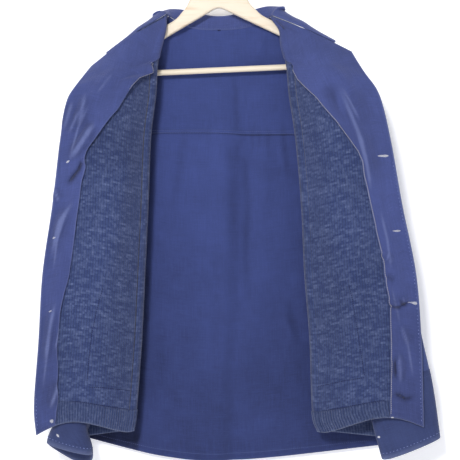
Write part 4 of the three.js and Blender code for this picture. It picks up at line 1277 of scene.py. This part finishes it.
frontButtons = {"v": (0.305, 0.535, 0.745), "c": 2.89, "lift": 3.7, "radius": 8, "thick": 3}
cuffButtons = {"t": 0.95, "lift": 3.2, "radius": 6, "thick": 3}
for number, v in enumerate(frontButtons["v"]):
    centre = front(left, frontButtons["c"], np.float64(v)) + np.array([0, frontButtons["lift"], 0])
    button = disc(f"frontButton{number + 1}", centre, np.array([0.0, 1.0, 0.0]), frontButtons["radius"],
                  frontButtons["thick"], buttonFinish)
    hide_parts(f"front_button_{number + 1}")
for side, label, s in ((left, "Left", 0.01), (right, "Right", 0.1)):
    surface = lambda a, b: sleeve(side, a, b)
    at = surface(np.float64(s), np.float64(cuffButtons["t"]))
    normal = normalOf(surface, np.float64(s), np.float64(cuffButtons["t"]))
    normal = normal * np.sign(normal[1] * (at[1] + 38))
    button = disc(f"cuffButton{label}", at + normal * cuffButtons["lift"], normal, cuffButtons["radius"],
                  cuffButtons["thick"], buttonFinish)
    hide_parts(f"cuff_button_{label.lower()}")
print("hanger and buttons made")


# Sheet sizes of the pieces as cut

# each cut is a width and a length in metres and, where it isn't a rectangle, an area
frontCuts = {
    "Left": {"panel": (0.29, 0.60, 0.160), "hem": (0.28, 0.045), "facing": (0.12, 0.65, 0.035),
             "pocket": (0.13, 0.18)},
    "Right": {"panel": (0.31, 0.60, 0.170), "hem": (0.29, 0.045), "facing": (0.13, 0.65, 0.041),
              "pocket": (0.14, 0.18)},
}
sleeveCuts = {
    "Left": {"sleeve": (0.30, 0.42, 0.084), "cuff": (0.19, 0.10)},
    "Right": {"sleeve": (0.32, 0.44, 0.098), "cuff": (0.25, 0.10)},
}
backCuts = {"yoke": (0.42, 0.185, 0.064), "body": (0.51, 0.525, 0.252), "collar": (0.51, 0.024)}


def cutSheet(piece, cut, withPieces=()):
    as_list(withPieces)


for label, pieces in (("Left", frontLeft), ("Right", frontRight)):
    panel, hem, facing, pocket = pieces
    cuts, (onFacingEdge, onPanel) = frontCuts[label], stitchesOf[label]
    cutSheet(panel, cuts["panel"], onPanel)
    cutSheet(hem, cuts["hem"])
    cutSheet(facing, cuts["facing"], onFacingEdge)
    cutSheet(pocket, cuts["pocket"])
for label, (tubeOf, cuff, threadsOf) in (("Left", sleeveLeft), ("Right", sleeveRight)):
    cutSheet(tubeOf, sleeveCuts[label]["sleeve"])
    cutSheet(cuff, sleeveCuts[label]["cuff"], threadsOf)
cutSheet(backYoke, backCuts["yoke"], (yokeStitches, seamLine, loopMark))
cutSheet(backBody, backCuts["body"], (hemStitches,))
cutSheet(collarBand, backCuts["collar"], (collarStitches,))


# Camera, light and stage

stage = {"halfWide": 4, "wallY": 0.03, "wallTop": 3, "floorZ": -1.1, "floorFront": -5, "floorBack": 4}
wall, floor = linear(252, 252, 254), linear(246, 246, 248)
lamps = {  # power in watts, place and target in metres
    "keyLight": {"at": (-0.68, -3.35, 0.75), "target": (0, 0, -0.45), "size": 0.5, "power": 71},
    "backLight": {"at": (0.9, 3.4, 0.9), "target": (0, 0, -0.45), "size": 1.6, "power": 60},
}
view = {"x": 0.017, "z": -0.455, "away": 2.5, "width": 0.7176, "sensor": 36}  # width is seen at the part


def stagePlane(name, points, colour, glow, oneSided=False):  # oneSided makes its back clear
    mesh = bpy.data.meshes.new(name)
    mesh.from_pydata([tuple(p) for p in points], [], [tuple(range(len(points)))])
    plane = bpy.data.objects.new(name, mesh)
    bpy.context.scene.collection.objects.link(plane)
    material = plainFinish(name + "Finish", colour, 0.95, specular=0.1)
    shader = material.node_tree.nodes["Principled BSDF"]
    shader.inputs["Emission Color"].default_value = (1.0, 1.0, 1.0, 1.0)
    shader.inputs["Emission Strength"].default_value = glow
    if oneSided:
        n = Nodes(material.node_tree)
        clear = n.add("BsdfTransparent").outputs[0]
        fromBack = n.add("NewGeometry").outputs["Backfacing"]
        mixed = n.add("MixShader", {0: fromBack, 1: shader.outputs[0], 2: clear}).outputs[0]
        material.node_tree.links.new(mixed, material.node_tree.nodes["Material Output"].inputs["Surface"])
    mesh.materials.append(material)


x, y, z, top = stage["halfWide"], stage["wallY"], stage["floorZ"], stage["wallTop"]
stagePlane("wall", [(-x, y, z), (x, y, z), (x, y, top), (-x, y, top)], wall, 0.3, True)
near, far = stage["floorFront"], stage["floorBack"]
stagePlane("floor", [(-x, near, z), (x, near, z), (x, far, z), (-x, far, z)], floor, 0.0)


def softLight(name, at, target, size, power):  # a square lamp turned to its target
    data = bpy.data.lights.new(name, "AREA")
    data.shape = "RECTANGLE"
    data.size = data.size_y = size
    data.energy = power
    lamp = bpy.data.objects.new(name, data)
    bpy.context.scene.collection.objects.link(lamp)
    lamp.location = at
    ahead = np.array(target) - np.array(at)
    flat = np.hypot(ahead[0], ahead[1])
    lamp.rotation_euler = (np.pi / 2 + np.arctan2(ahead[2], flat), 0, np.arctan2(-ahead[0], ahead[1]))


for name, settings in lamps.items():
    softLight(name, **settings)
world = bpy.data.worlds.new("softWorld")
world.use_nodes = True
world.node_tree.nodes["Background"].inputs["Color"].default_value = (0.93, 0.95, 1.0, 1.0)
world.node_tree.nodes["Background"].inputs["Strength"].default_value = 0.47
bpy.context.scene.world = world
bpy.context.scene.view_settings.view_transform = "Standard"

lens = bpy.data.cameras.new("mainCamera")
lens.sensor_width = view["sensor"]
lens.lens = view["sensor"] * view["away"] / view["width"]
camera = bpy.data.objects.new("mainCamera", lens)
bpy.context.scene.collection.objects.link(camera)
camera.location = (view["x"], -view["away"], view["z"])
camera.rotation_euler = (np.pi / 2, 0, 0)
bpy.context.scene.camera = camera
